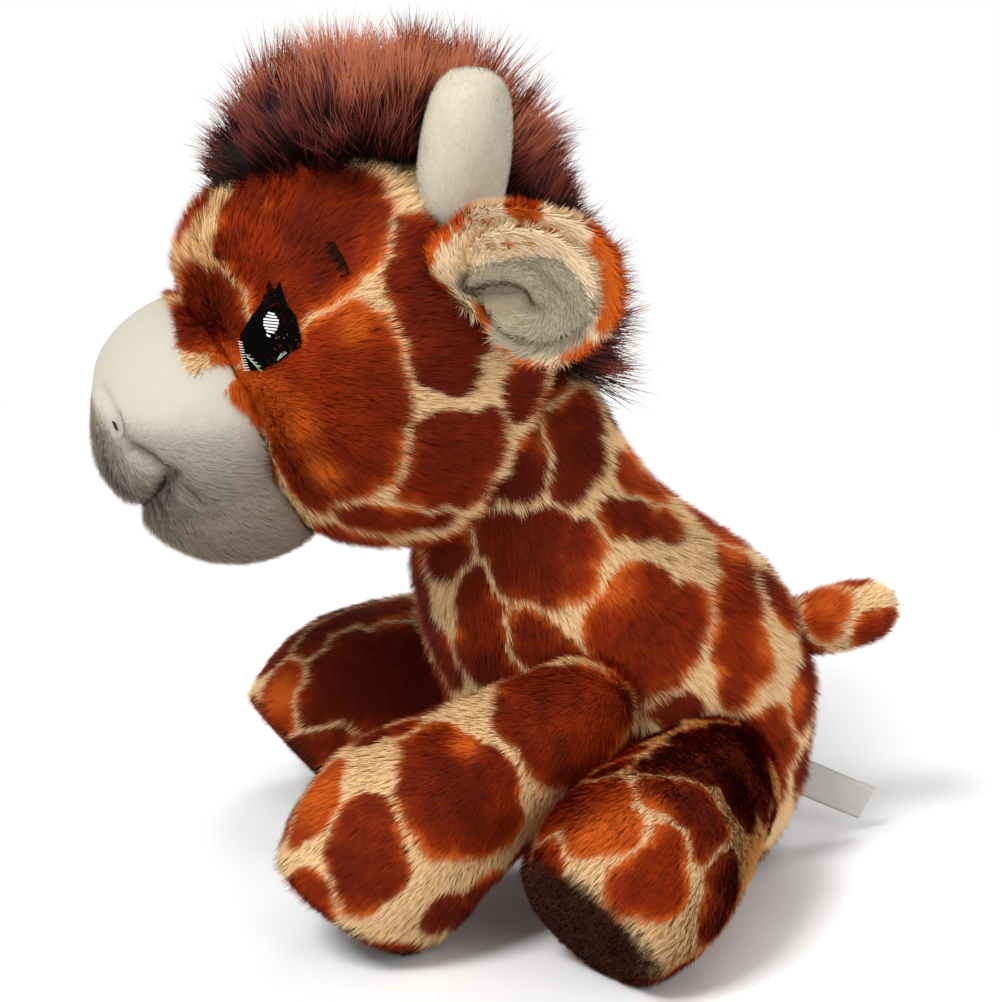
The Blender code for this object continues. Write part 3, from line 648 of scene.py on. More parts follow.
def patchField(places, drift, patches):
    # how far inside its patch each place is, in mm, and the patch's tone
    warped = places + drift * patches["ragged"]
    edge, tone = np.empty(len(places)), np.empty(len(places))
    for start in range(0, len(places), placesAtOnce):
        part = slice(start, start + placesAtOnce)
        gap = np.linalg.norm(warped[part, None, :] - patches["centres"][None], axis=2) - patches["radii"]
        gap = np.minimum.reduceat(gap, patches["starts"], axis=1)
        order = np.argsort(gap, axis=1)[:, :2]
        near = np.take_along_axis(gap, order, 1)
        inside = np.minimum(patches["reach"] - near[:, 0], (near[:, 1] - near[:, 0]) / 2 - patches["line"])
        edge[part] = inside / mm
        tone[part] = patches["tones"][order[:, 0]]
        # painted light: each spot turns the pile lighter orange where it catches the light
        for centre, radius in patches["glows"]:
            paintedLight = np.exp(-(np.linalg.norm(places[part] - centre, axis=1) / radius) ** 2)
            tone[part] = tone[part] * (1 - paintedLight) + paintedLightTone * paintedLight
    return edge, tone


def makePatches(form, drawn, seed, ragged=1.9 * mm, reach=2.6 * mm, line=0.7 * mm, grown=1.08, extra=1.5,
                seenGap=11 * mm, unseenGap=6.5 * mm, largest=14 * mm, tones=(0.3, 0.85), glows=(),
                mirrorFrom=None):
    # the patches that the photograph shows, and others like them where it shows none
    tree = treeOf(form)
    groups = []
    for tone, circles in drawn:
        groups.append((tone, [(np.array(onForm(tree, across, down)[0]),
                               (radius * grown + extra) * camera["pixelAtTarget"])
                              for across, down, radius in circles]))
    glows = [(np.array(onForm(tree, across, down)[0]), radius * paintedLightSpread * camera["pixelAtTarget"])
             for across, down, radius in glows]
    if mirrorFrom is not None:
        # the hidden side has patches of the same shapes
        groups += [(tone, [(centre * (-1, 1, 1), radius) for centre, radius in circles]) for tone, circles in groups
                   if np.mean([centre[0] for centre, radius in circles]) > mirrorFrom]
        glows += [(centre * (-1, 1, 1), radius) for centre, radius in glows]
    chance = np.random.default_rng(seed)
    places = pointsOf(form.data)
    facing = normalsOf(form.data) @ np.array(cameraBack)
    room = np.where(facing > seenFacing, seenGap, unseenGap)
    clear = np.full(len(places), 1.0)
    for tone, circles in groups:
        for centre, radius in circles:
            clear = np.minimum(clear, np.linalg.norm(places - centre, axis=1) - radius)
    for number in range(mostFillings):
        free = np.flatnonzero(clear > room)
        if not len(free):
            break
        chosen = free[chance.integers(len(free))] if len(free) > 1 else free[0]
        radius = min(clear[chosen] - fillingGap, largest) * chance.uniform(0.8, 1.0)
        groups.append((chance.uniform(*tones), [(places[chosen], radius)]))
        clear = np.minimum(clear, np.linalg.norm(places - places[chosen], axis=1) - radius)
    starts = np.cumsum([0] + [len(circles) for tone, circles in groups[:-1]])
    return {
        "centres": np.array([c for tone, circles in groups for c, r in circles]),
        "radii": np.array([r for tone, circles in groups for c, r in circles]),
        "starts": starts,
        "tones": np.array([tone for tone, circles in groups]),
        "ragged": ragged,
        "reach": reach,
        "line": line,
        "glows": glows,
    }


def mirroredPatches(patches):
    turned = dict(patches)
    turned["centres"] = patches["centres"] * (-1, 1, 1)
    turned["glows"] = [(centre * (-1, 1, 1), radius) for centre, radius in patches["glows"]]
    return turned


# each row: how dark the patch is, and the circles (across, down, radius in pixels) that fill it; the darkest tones,
# below the ear and on the far front leg, are partly painted shade
drawnPatches = {
    "head": [
        (0.4, [(203, 207, 13), (192, 226, 17), (181, 246, 14), (172, 258, 8)]),
        (0.45, [(258, 192, 20), (240, 215, 17), (236, 244, 18), (246, 272, 17), (302, 195, 34), (344, 196, 20),
                (290, 240, 36), (340, 238, 30), (358, 215, 14), (322, 266, 22), (305, 290, 19), (262, 288, 16),
                (288, 312, 14), (256, 306, 12)]),
        (0.6, [(198, 303, 22), (222, 305, 19), (232, 328, 13), (205, 335, 22), (202, 358, 13), (232, 350, 10)]),
        (0.85, [(425, 225, 22), (410, 250, 22), (412, 285, 26), (420, 320, 24), (432, 350, 26), (455, 320, 26),
                (446, 372, 14), (460, 270, 22)]),
        (0.4, [(258, 392, 22), (290, 382, 26), (330, 350, 27), (356, 350, 24), (300, 420, 36), (345, 400, 40),
               (362, 380, 24), (330, 455, 36), (362, 448, 26), (292, 455, 20), (306, 482, 18), (345, 322, 8)]),
        (0.7, [(432, 450, 30), (458, 456, 30), (425, 482, 27), (452, 482, 22), (410, 460, 12), (474, 430, 14)]),
        (0.6, [(352, 512, 13), (375, 516, 12), (400, 514, 12), (428, 512, 10)]),
    ],
    "torso": [
        (0.85, [(518, 388, 18), (545, 386, 12), (515, 440, 20), (515, 464, 18), (495, 450, 12)]),
        (0.8, [(575, 410, 20), (574, 446, 20), (562, 474, 12), (552, 428, 12)]),
        (0.2, [(622, 470, 17), (640, 486, 14), (632, 440, 8)]),
        (0.8, [(630, 512, 15), (606, 512, 12), (655, 520, 13)]),
        (0.85, [(500, 530, 20), (540, 528, 20), (574, 536, 16), (512, 566, 20), (545, 570, 20), (570, 572, 12)]),
        (0.65, [(414, 548, 22), (418, 580, 24), (428, 610, 18), (440, 636, 18), (450, 660, 14)]),
        (0.75, [(478, 572, 12), (482, 596, 18), (484, 622, 20), (488, 650, 20), (470, 642, 12), (506, 662, 14)]),
        (0.75, [(524, 618, 14), (534, 638, 20), (560, 652, 14)]),
        (0.6, [(634, 592, 26), (620, 620, 31), (652, 628, 36), (642, 660, 26), (680, 604, 18)]),
        (0.55, [(726, 562, 18), (730, 600, 22), (734, 640, 25), (728, 676, 14), (748, 655, 14)]),
        (0.65, [(786, 592, 19), (770, 580, 11)]),
        (0.7, [(797, 690, 22), (802, 664, 14), (790, 710, 14), (796, 640, 8)]),
        (0.8, [(730, 728, 26), (765, 738, 32), (795, 762, 16), (750, 775, 26), (700, 716, 16)]),
        (0.7, [(676, 706, 14), (660, 696, 8)]),
    ],
    "tail": [
        (0.35, [(822, 605, 14), (815, 625, 10)]),
        (0.55, [(866, 635, 16), (872, 650, 10), (880, 625, 8)]),
    ],
    "frontLegLeft": [
        (0.5, [(548, 700, 32), (580, 700, 32), (528, 720, 18), (560, 742, 28), (600, 730, 26), (612, 704, 22),
               (590, 764, 16), (536, 680, 20)]),
        (0.5, [(452, 768, 32), (484, 784, 30), (470, 808, 30), (434, 800, 22), (504, 818, 16), (440, 744, 20),
               (488, 826, 16), (446, 828, 14)]),
        (0.55, [(382, 736, 10), (412, 728, 10)]),
        (0.2, [(322, 800, 22), (334, 776, 14), (306, 824, 8)]),
        (0.7, [(374, 826, 24), (376, 860, 26), (366, 888, 14), (352, 848, 12)]),
        (0.6, [(480, 892, 28), (450, 908, 16), (512, 880, 14)]),
    ],
    # the far front leg stands in shade: its dark tones are partly painted shade
    "frontLegRight": [
        (0.8, [(400, 650, 26), (372, 686, 36), (420, 690, 28), (340, 668, 26), (330, 700, 22), (352, 640, 16)]),
        (0.3, [(284, 692, 16), (298, 672, 14), (290, 712, 12)]),
        (0.7, [(322, 642, 18), (346, 626, 18), (376, 614, 16), (404, 610, 12)]),
        (0.8, [(338, 738, 16), (318, 748, 12)]),
    ],
    "hindLegLeft": [
        (0.3, [(566, 806, 26), (600, 800, 24), (592, 826, 18), (622, 822, 12), (546, 822, 12), (634, 840, 14)]),
        (0.5, [(652, 862, 24), (664, 884, 20), (640, 880, 16), (668, 846, 14)]),
        (0.6, [(668, 790, 16), (692, 802, 20), (712, 826, 16), (706, 842, 10)]),
        (0.6, [(726, 872, 18), (722, 906, 26), (712, 940, 18), (730, 930, 16)]),
        (0.8, [(700, 744, 16), (720, 744, 22), (742, 742, 24), (768, 746, 28), (758, 782, 26), (740, 800, 18),
               (724, 772, 18), (682, 758, 16), (696, 768, 16), (662, 768, 12)]),
    ],
}

# painted light: spots (across, down, radius in pixels) where the pile is made lighter orange as it catches the light
drawnPaintedLights = {
    "head": [(236, 388, 26), (262, 402, 26), (292, 420, 18), (345, 328, 16), (222, 352, 14), (318, 466, 16),
             (232, 368, 14)],
    "torso": [(606, 578, 24), (716, 548, 22), (628, 456, 20), (756, 640, 18), (790, 686, 18), (430, 548, 8)],
    "tail": [(822, 606, 16)],
    "frontLegLeft": [(330, 790, 26), (392, 728, 16), (470, 745, 12)],
    "frontLegRight": [(290, 690, 18)],
    "hindLegLeft": [(560, 806, 30), (600, 836, 22), (650, 812, 22), (700, 900, 18), (724, 930, 20)],
}

# the ear's front: cream cloth with an orange rim, round a cup of smooth grey-white cloth whose grey is partly painted
# shade
earFront = {
    "tone": -1.0,
    "orange": -0.5,
    "paleFrom": -0.6,  # mm outside a drawn patch beyond which the cloth is cream
    "rim": [(456, 208, 7), (468, 200, 7), (484, 192, 7), (502, 186, 7), (525, 188, 7), (552, 198, 8), (578, 213, 9),
            (598, 240, 13), (610, 266, 13), (612, 292, 13), (610, 316, 11)],
    "streak": [(482, 247, 7), (496, 241, 7), (512, 237, 8), (530, 233, 7), (546, 231, 6)],
    "left": [(444, 222, 9), (434, 240, 11), (428, 262, 10), (432, 286, 9), (444, 302, 6)],
    "under": [(500, 366, 9), (530, 366, 10)],
    "cup": [(457, 294), (463, 276), (489, 264), (516, 256), (552, 252), (571, 268), (585, 286), (592, 309),
            (585, 334), (561, 351), (516, 357), (486, 354), (468, 341), (456, 326)],
}


# materials

def newShader(name):
    material = bpy.data.materials.new(name)
    material.use_nodes = True
    material.node_tree.nodes.clear()
    return material, Graph(material.node_tree)


def finishShader(graph, values):
    surface = graph.add("ShaderNodeBsdfPrincipled", None, values, out="BSDF")
    graph.add("ShaderNodeOutputMaterial", None, {"Surface": surface})


clothGrain = 900.0  # marks of the knitted cloth in a metre

furColours = {
    "creamRoot": paint(196, 132, 76),
    "creamTip": paint(250, 214, 160),
    "paleCream": paint(252, 226, 188),
    "orange": paint(226, 106, 32),
    "rust": paint(168, 52, 10),
    "maroon": paint(104, 28, 9),
    "rootShade": 0.78,
    "footShade": (0.8, 0.76, 0.74, 1),
    "blotch": 26 * mm,  # size of the lighter and darker areas
    "napSheen": 4 * mm,  # size of the marks where the pile lies brushed different ways; their lighter and darker look is painted sheen
    "loose": 1.2,  # mm by which single strands stray over a patch's edge
    "patchAt": (-0.3, 0.45),  # mm inside a patch between which cream turns to its colour
    "fringeAt": (0.0, 2.8),  # mm between which its orange edge turns to rust
    "brightAt": (-0.3, 0.5),
    "darkAt": (1.05, 2.1),
    "paleAt": (0.6, 0.9),
    "creamAt": (0.05, 0.7),  # shares of a strand between which its root's colour turns to its tip's
    "shadeAt": (0.0, 0.65),
}


def patchedColour(graph, along):
    # printed patches: cream between them, orange at their edges, dark in the darker patches; the lighter orange spots
    # are painted light, the brushed marks painted sheen, and the darkest parts partly painted shade where the pile
    # turns from the light
    edge = graph.attribute("edge")
    tone = graph.attribute("tone")
    pick = graph.attribute("pick")
    place = graph.place()
    blotch = graph.cloud(place, 1 / furColours["blotch"], 2.0, Roughness=0.6)
    napSheen = graph.cloud(place, 1 / furColours["napSheen"], 2.0, Roughness=0.6)
    loose = (pick - 0.5) * furColours["loose"]
    patch = graph.smooth(edge + loose, *furColours["patchAt"])
    fringe = graph.smooth(edge + loose * 1.5 + (blotch - 0.5) * 7.0 + (napSheen - 0.5) * 3.0, *furColours["fringeAt"])
    bright = graph.smooth((napSheen - 0.5) * 0.5 + (blotch - 0.5) * 0.8 - tone, *furColours["brightAt"])
    dark = graph.smooth(blotch * 1.9 + tone * 0.95 + (napSheen - 0.5) * 0.7 + (pick - 0.5) * 0.2 + edge * 0.03,
                        *furColours["darkAt"])
    rust = graph.mix(fringe * (1.0 - bright), furColours["orange"], furColours["rust"])
    rust = graph.mix(dark, rust, furColours["maroon"])
    pale = graph.smooth(0.0 - tone, *furColours["paleAt"])
    tip = graph.mix(pale, furColours["creamTip"], furColours["paleCream"])
    cream = graph.mix(graph.smooth(along + pale * 0.5, *furColours["creamAt"]), furColours["creamRoot"], tip)
    return graph.mix(patch, cream, rust)


def makePatchedFur():
    material, graph = newShader("patchedFur")
    along = graph.attribute("along")
    colour = patchedColour(graph, along)
    shade = graph.mix(graph.smooth(along, *furColours["shadeAt"]), (furColours["rootShade"],) * 3 + (1,),
                      (1, 1, 1, 1))
    colour = graph.shaded(colour, shade)
    finishShader(graph, {"Base Color": colour, "Roughness": 0.7, "Specular IOR Level": 0.08})
    return material


def makeBacking():
    # the knitted cloth at the foot of the pile
    material, graph = newShader("patchedBacking")
    place = graph.place()
    grain = graph.cloud(place, clothGrain, 3.0)
    colour = patchedColour(graph, grain * 0.3)
    colour = graph.shaded(colour, furColours["footShade"])
    bump = graph.bump(grain, 0.6, 0.6 * mm)
    finishShader(graph, {"Base Color": colour, "Roughness": 0.85, "Specular IOR Level": 0.08, "Normal": bump})
    return material


def makePlainPile(name, root, tip, spread, roughness=0.8):
    # pile of one colour, a little different from strand to strand
    material, graph = newShader(name)
    along = graph.attribute("along")
    pick = graph.attribute("pick")
    colour = graph.mix(graph.smooth(along + (pick - 0.5) * 0.5, 0.0, 0.8), root, tip)
    colour = graph.shaded(colour, graph.grey(pick * spread + (1 - spread)))
    finishShader(graph, {"Base Color": colour, "Roughness": roughness, "Specular IOR Level": 0.1})
    return material


def makePlainBacking(name, dark, light, size=0.9 * mm, height=0.3 * mm):
    material, graph = newShader(name)
    place = graph.place()
    grain = graph.cloud(place, 0.5 / size, 4.0, Roughness=0.7)
    blotch = graph.cloud(place, 90.0, 2.0)
    colour = graph.mix(graph.smooth(grain * 0.7 + blotch * 0.3, 0.35, 0.65), dark, light)
    bump = graph.bump(grain, 0.5, height)
    finishShader(graph, {"Base Color": colour, "Roughness": 0.85, "Specular IOR Level": 0.1, "Normal": bump})
    return material


muzzleColours = {
    "crown": paint(208, 202, 187),
    "shadedUnderside": paint(158, 144, 127),
    "shadedUndersideRoot": paint(104, 88, 73),
    "footShade": (0.8, 0.8, 0.79, 1),
    "low": 126 * mm,  # heights between which the lighter crown turns to the greyer underside, which is partly painted shade
    "high": 170 * mm,
}


def muzzleColour(graph, along):
    place = graph.place()
    split = graph.add("ShaderNodeSeparateXYZ", None, {"Vector": place}, out="Z")
    wander = graph.cloud(place, 55.0, 2.0)
    # the underside's pile is combed down and back, in fine streaks
    streaks = graph.add("ShaderNodeMapping", {"vector_type": "POINT"},
                        {"Vector": place, "Rotation": (math.radians(50), 0, 0), "Scale": (500, 90, 700)})
    streak = graph.cloud(streaks, 1.0, 2.0)
    # painted shade: the muzzle darkens from its crown to its underside where less light falls, partly also its longer
    # lower pile showing darker roots
    height = graph.smooth(split + (wander - 0.5) * 0.02 - split.other("Y") * 0.15 - 0.022,
                          muzzleColours["low"], muzzleColours["high"])
    low = graph.mix(graph.smooth(streak * 0.7 + along * 0.5, 0.2, 0.75), muzzleColours["shadedUndersideRoot"],
                    muzzleColours["shadedUnderside"])
    return graph.mix(height, low, muzzleColours["crown"])


def makeMuzzlePile():
    material, graph = newShader("muzzlePile")
    colour = muzzleColour(graph, graph.attribute("along"))
    colour = graph.shaded(colour, graph.grey(graph.attribute("pick") * 0.06 + 0.94))
    finishShader(graph, {"Base Color": colour, "Roughness": 0.8, "Specular IOR Level": 0.1})
    return material


def makeMuzzleBacking():
    material, graph = newShader("muzzleBacking")
    place = graph.place()
    grain = graph.cloud(place, clothGrain, 3.0)
    bump = graph.bump(grain, 0.4, 0.3 * mm)
    colour = graph.mix(graph.attribute("furred"), muzzleColour(graph, grain * 0.5),
                       patchedColour(graph, grain * 0.6))
    colour = graph.shaded(colour, muzzleColours["footShade"])
    finishShader(graph, {"Base Color": colour, "Roughness": 0.85, "Specular IOR Level": 0.1, "Normal": bump})
    return material


def makeLiningBacking():
    # smooth grey-white cloth inside the cup of the ear, its grey partly painted shade of the cup; patched cloth round
    # it
    material, graph = newShader("liningBacking")
    place = graph.place()
    grain = graph.cloud(place, clothGrain, 3.0)
    shadedCupCloth = graph.mix(grain, paint(146, 132, 108), paint(172, 158, 132))
    colour = graph.mix(graph.attribute("cup"), patchedColour(graph, grain * 0.6 + 0.4), shadedCupCloth)
    bump = graph.bump(grain, 0.5, 0.3 * mm)
    finishShader(graph, {"Base Color": colour, "Roughness": 0.85, "Specular IOR Level": 0.08, "Normal": bump})
    return material


maneColours = {
    "root": paint(30, 8, 6),
    "middle": paint(112, 46, 34),
    "tip": paint(182, 106, 76),
    "centre": (0, -82 * mm, 180 * mm),
    "low": 67 * mm,  # distances from the head's centre between which the mane pales
    "high": 101 * mm,
    "brow": (85 * mm, 140 * mm),  # how far forward the hair is darker for longer, and by how much
    "browShift": 16 * mm,
}


def makeManePile():
    material, graph = newShader("manePile")
    along, pick = graph.attribute("along"), graph.attribute("pick")
    place = graph.place()
    far = graph.add("ShaderNodeVectorMath", {"operation": "DISTANCE"}, {0: place, 1: maneColours["centre"]},
                    out="Value")
    blotch = graph.cloud(place, 60.0, 2.0)
    forward = graph.add("ShaderNodeSeparateXYZ", None, {"Vector": place}, out="Y")
    far = far - graph.smooth(0.0 - forward, *maneColours["brow"]) * maneColours["browShift"]
    out = graph.smooth(far + (blotch - 0.5) * 0.016 + (pick - 0.5) * 0.012, maneColours["low"], maneColours["high"])
    # painted light and shade: the hair darkens toward its roots and the head, where it lies in shade, and lightens to
    # its outer tips, where it is lit
    lit = graph.smooth(along * 0.6 + out * 0.5 + (pick - 0.5) * 0.4, 0.35, 1.15)
    colour = graph.mix(graph.smooth(lit, 0.0, 0.5), maneColours["root"], maneColours["middle"])
    colour = graph.mix(graph.smooth(lit, 0.4, 1.0) * out, colour, maneColours["tip"])
    finishShader(graph, {"Base Color": colour, "Roughness": 0.6, "Specular IOR Level": 0.15})
    return material


patchedFur = makePatchedFur()
patchedBacking = makeBacking()
muzzlePile, muzzleBacking = makeMuzzlePile(), makeMuzzleBacking()
hornPile = makePlainPile("hornPile", paint(204, 195, 174), paint(216, 208, 190), 0.04, 0.85)
hornBacking = makePlainBacking("hornBacking", paint(202, 193, 172), paint(214, 206, 188))
# the cup's grey-white pile, partly painted greyer for the shade in the cup
liningPile = makePlainPile("liningPile", paint(148, 134, 110), paint(184, 172, 146), 0.06)
liningBacking = makeLiningBacking()
manePile = makeManePile()
# the mane's cloth is as dark as the shaded roots of its hair: painted shade
maneBacking = makePlainBacking("maneBacking", paint(36, 10, 8), paint(60, 20, 16))
solePile = makePlainPile("solePile", paint(40, 18, 8), paint(88, 48, 28), 0.35, 0.9)
soleBacking = makePlainBacking("soleBacking", paint(36, 17, 8), paint(66, 36, 20))
print("materials are ready")


# stuffed forms

forms = {
    # name: CAD nodes, and how their copy is evened out
    "torsoPlush": (("torso_skin", "torso_filling"), 2.6 * mm, 8, 0.0, 0),
    "headPlush": (("head_skin", "head_filling"), 2.6 * mm, 8, 0.3 * mm, 0),
    "muzzlePlush": (("muzzle",), 2.2 * mm, 8, 0.3 * mm, 1),
    "tailPlush": (("tail",), 2.0 * mm, 6, -1.2 * mm, 0),
    "earLeftPlush": (("ear_left",), 1.6 * mm, 5, -0.5 * mm, 0),
    "earRightPlush": (("ear_right",), 1.6 * mm, 5, -0.5 * mm, 0),
    "liningLeftPlush": (("ear_lining_left",), 1.5 * mm, 5, 0.3 * mm, 0),
    "liningRightPlush": (("ear_lining_right",), 1.5 * mm, 5, 0.3 * mm, 0),
    "hornLeftPlush": (("horn_left",), 1.8 * mm, 6, 0.2 * mm, 1),
    "hornRightPlush": (("horn_right",), 1.8 * mm, 6, 0.2 * mm, 1),
    "maneCore": (("mane",), 2.2 * mm, 6, 0.0, 0),
}
for pair in ("front", "hind"):
    for side in ("left", "right"):
        stem = pair + "_{}_" + side
        leg = pair + "Leg" + side.capitalize() + "Plush"
        forms[leg] = ((stem.format("leg") + "_skin", stem.format("leg") + "_filling"), 2.4 * mm, 8, -1.0 * mm, 0)
        forms[leg.replace("Leg", "Sole")] = ((stem.format("sole"),), 1.0 * mm, 3, 0.3 * mm, 0)

made = {name: stuffedForm(name, *setting) for name, setting in forms.items()}
for obj in made.values():
    keepOffFloor(obj.data)
print("forms are ready")

# the mane's stuffed crest is lower than its hair
crestShare = 0.55
headTree = treeOf(made["headPlush"])
points = pointsOf(made["maneCore"].data)
for number, place in enumerate(points):
    near, normal, index, far = headTree.find_nearest(Vector(place))
    if (Vector(place) - near).dot(normal) > 0:
        points[number] = np.array(near) + (place - np.array(near)) * crestShare
movePoints(made["maneCore"].data, points)

trees = {name: treeOf(obj) for name, obj in made.items()}


# folds that are pressed into a form, or raised from it

def alongPixels(tree, pixels, steps=6):
    fine = []
    for (a, b), (c, d) in zip(pixels, pixels[1:]):
        fine += [(a + (c - a) * n / steps, b + (d - b) * n / steps) for n in range(steps)]
    fine.append(pixels[-1])
    return np.array([onForm(tree, *pixel)[0] for pixel in fine])


def pressed(name, folds, mirrors):
    # folds: a path, its half width and its depth; a raised fold has a negative depth
    obj = made[name]
    points, normals = pointsOf(obj.data), normalsOf(obj.data)
    sunk, raised = np.zeros(len(points)), np.zeros(len(points))
    for path, halfWidth, deep in folds:
        for mirror in mirrors:
            away = np.linalg.norm(points[:, None] - (path * (mirror, 1, 1))[None], axis=2).min(1)
            share = np.exp(-(away / halfWidth) ** 2 * 1.4)
            if deep > 0:
                sunk = np.maximum(sunk, deep * share)
            else:
                raised = np.minimum(raised, deep * share)
    movePoints(obj.data, points - normals * (sunk + raised)[:, None])
    trees[name] = treeOf(obj)


muzzleTree = trees["muzzlePlush"]
mouthPath = alongPixels(muzzleTree, [(166, 475), (161, 486), (156, 496)])
mouthMiddle = np.array(muzzleTree.find_nearest(Vector((0, -166 * mm, 126 * mm)))[0])
front = [muzzleTree.find_nearest(Vector(mouthPath[-1] * (1 - n / 5) + mouthMiddle * n / 5))[0] for n in range(1, 6)]
mouthPath = np.concatenate([mouthPath, np.array(front)])
smilePath = alongPixels(muzzleTree, [(131, 450), (150, 461), (167, 478)])
nostrilPath = alongPixels(muzzleTree, [(100, 392), (108, 405), (117, 428)])
muzzleFolds = [
    (mouthPath, 3.8 * mm, 4.8 * mm),
    (smilePath, 2.8 * mm, 3.6 * mm),
    (alongPixels(muzzleTree, [(168, 478), (178, 489), (190, 498)]), 2.8 * mm, 1.8 * mm),
    (nostrilPath, 3.6 * mm, 2.0 * mm),
    (alongPixels(muzzleTree, [(114, 418), (117, 430)]), 3.2 * mm, 2.8 * mm),
    (alongPixels(muzzleTree, [(120, 436), (134, 454)]), 2.6 * mm, 1.0 * mm),
    (alongPixels(muzzleTree, [(118, 470), (136, 474)]), 8 * mm, -1.2 * mm),
    (alongPixels(muzzleTree, [(180, 525), (205, 535)]), 9 * mm, -1.0 * mm),
]
pressed("muzzlePlush", muzzleFolds, (1, -1))
muzzleCreases = np.concatenate([mouthPath, smilePath, nostrilPath])

liningTree = trees["liningLeftPlush"]
cupFolds = [
    (alongPixels(liningTree, [(480, 308), (500, 306), (518, 302)]), 6 * mm, 2.6 * mm),
    (alongPixels(liningTree, [(464, 288), (486, 277), (510, 275), (530, 282), (538, 296)]), 2.8 * mm, -3.0 * mm),
    (alongPixels(liningTree, [(548, 268), (572, 288), (582, 312)]), 3.4 * mm, -1.5 * mm),
]
behind = 2.4  # the ear's own cloth gives way further than the lining that lies on it
for side, sign in (("Left", 1), ("Right", -1)):
    pressed("lining" + side + "Plush", cupFolds, (sign,))
    pressed("ear" + side + "Plush", [(path, wide * 1.3, deep * behind) for path, wide, deep in cupFolds if deep > 0],
            (sign,))
print("folds are pressed")


# embroidery

eyeOutline = [(271, 281), (274, 287), (277, 291), (281, 282), (284, 292), (289, 306), (297, 315), (302, 333),
              (303, 345), (291, 352), (280, 361), (266, 368), (252, 369), (244, 354), (243, 334), (253, 319),
              (263, 305), (268, 292)]
browOutline = [(327, 245), (334, 246), (341, 257), (348, 273), (344, 279), (337, 268), (328, 256)]
satin = {
    # spacing and jitter are in pixels
    "eye": {"degrees": 62, "spacing": 0.95, "lift": 1.3 * mm, "jitter": 1.2, "seed": 1},
    "brow": {"degrees": 20, "spacing": 1.3, "lift": 2.2 * mm, "arch": 0.8 * mm, "jitter": 2.0, "seed": 3},
}
stitches = {
    # in pixels: first stitch's start and its step, its end and its step, how many, zigzag of the ends
    "rim": ((241.5, 340), (0.5, 2.6), (245.5, 341), (0.7, 2.5), 12, 0),
    "glint": ((249, 353), (1.6, 1.7), (254, 354), (1.7, 1.8), 8, 3),
    "farGlint": ((280, 359), (2.0, -1.6), (284, 352), (1.6, -0.8), 4, 2),
    "nostril": ((113, 422), (0.8, 2.0), (116, 424), (0.7, 2.0), 4, 0),
    "mouth": ((167, 473), (-2.0, 3.6), (157, 481), (-1.8, 3.6), 7, 0),
}
threads = {
    # thickness of each kind
    "eye": 0.42 * mm,
    "shine": 0.62 * mm,
    "rim": 0.26 * mm,
    "glint": 0.4 * mm,
    "brow": 0.9 * mm,
    "nostril": 0.5 * mm,
    "mouth": 0.5 * mm,
}


def makeThread(name, dark, light, roughness=0.4, gloss=0.12):
    material, graph = newShader(name)
    pick = graph.attribute("pick")
    place = graph.place()
    twist = graph.cloud(place, 5000.0, 1.0)
    colour = graph.mix(pick * 0.7 + twist * 0.3, dark, light)
    bump = graph.bump(twist, 0.4, 0.1 * mm)
    finishShader(graph, {"Base Color": colour, "Roughness": roughness, "Specular IOR Level": gloss, "Normal": bump})
    return material


blackThread = makeThread("blackThread", paint(3, 2, 2), paint(9, 7, 6), 0.8, 0.02)
whiteThread = makeThread("whiteThread", paint(206, 204, 200), paint(240, 239, 236))
tealThread = makeThread("tealThread", paint(60, 92, 78), paint(186, 200, 184))
brownThread = makeThread("brownThread", paint(14, 5, 3), paint(34, 13, 8), 0.7, 0.03)
greyThread = makeThread("greyThread", paint(22, 22, 20), paint(50, 50, 46), 0.6, 0.05)

headForm, muzzleForm = trees["headPlush"], trees["muzzlePlush"]
eyeLift = satin["eye"]["lift"]
eyeRows = satinRows(headForm, eyeOutline, **satin["eye"])
# rows of the highlight in pixels: from, to and their height on the eye
shineSpans = [(271, 277, 313), (269, 279, 316), (267, 281, 319), (267, 281, 322), (267, 280, 325), (268, 279, 328),
              (270, 277, 331), (270, 273, 334.5)]
shineSlant = 0.8
shineRows = [laidRow(headForm, (low, down - shineSlant), (high, down + shineSlant), eyeLift + 0.5 * mm, 6)
             for low, high, down in shineSpans]


def steppedRows(tree, name, lift):
    start, startStep, end, endStep, count, zigzag = stitches[name]
    return [laidRow(tree, (start[0] + n * startStep[0], start[1] + n * startStep[1]),
                    (end[0] + n * endStep[0], end[1] + n * endStep[1] + zigzag * (n % 2)), lift, 5)
            for n in range(count)]


rimRows = steppedRows(headForm, "rim", eyeLift + 0.2 * mm)
glintRows = steppedRows(headForm, "glint", eyeLift + 0.4 * mm) + steppedRows(headForm, "farGlint", eyeLift + 0.4 * mm)
browRows = satinRows(headForm, browOutline, **satin["brow"])
nostrilRows = steppedRows(muzzleForm, "nostril", 0.4 * mm)
mouthRows = steppedRows(muzzleForm, "mouth", 1.9 * mm)
for side, turn in (("Left", list), ("Right", mirroredRows)):
    low = side.lower()
    sew("eyeThreads" + side, turn(eyeRows), threads["eye"], blackThread, "head",
        ("eye_" + low,), 5)
    sew("shineThreads" + side, turn(shineRows), threads["shine"], whiteThread, "head",
        ("eye_highlight_" + low,), 8)
    sew("rimThreads" + side, turn(rimRows), threads["rim"], whiteThread, "head")
    sew("glintThreads" + side, turn(glintRows), threads["glint"], tealThread, "head")
    sew("browThreads" + side, turn(browRows), threads["brow"], brownThread, "head", ("brow_" + low,))
    sew("nostrilThreads" + side, turn(nostrilRows), threads["nostril"], greyThread, "head",
        ("nostril_" + low,))

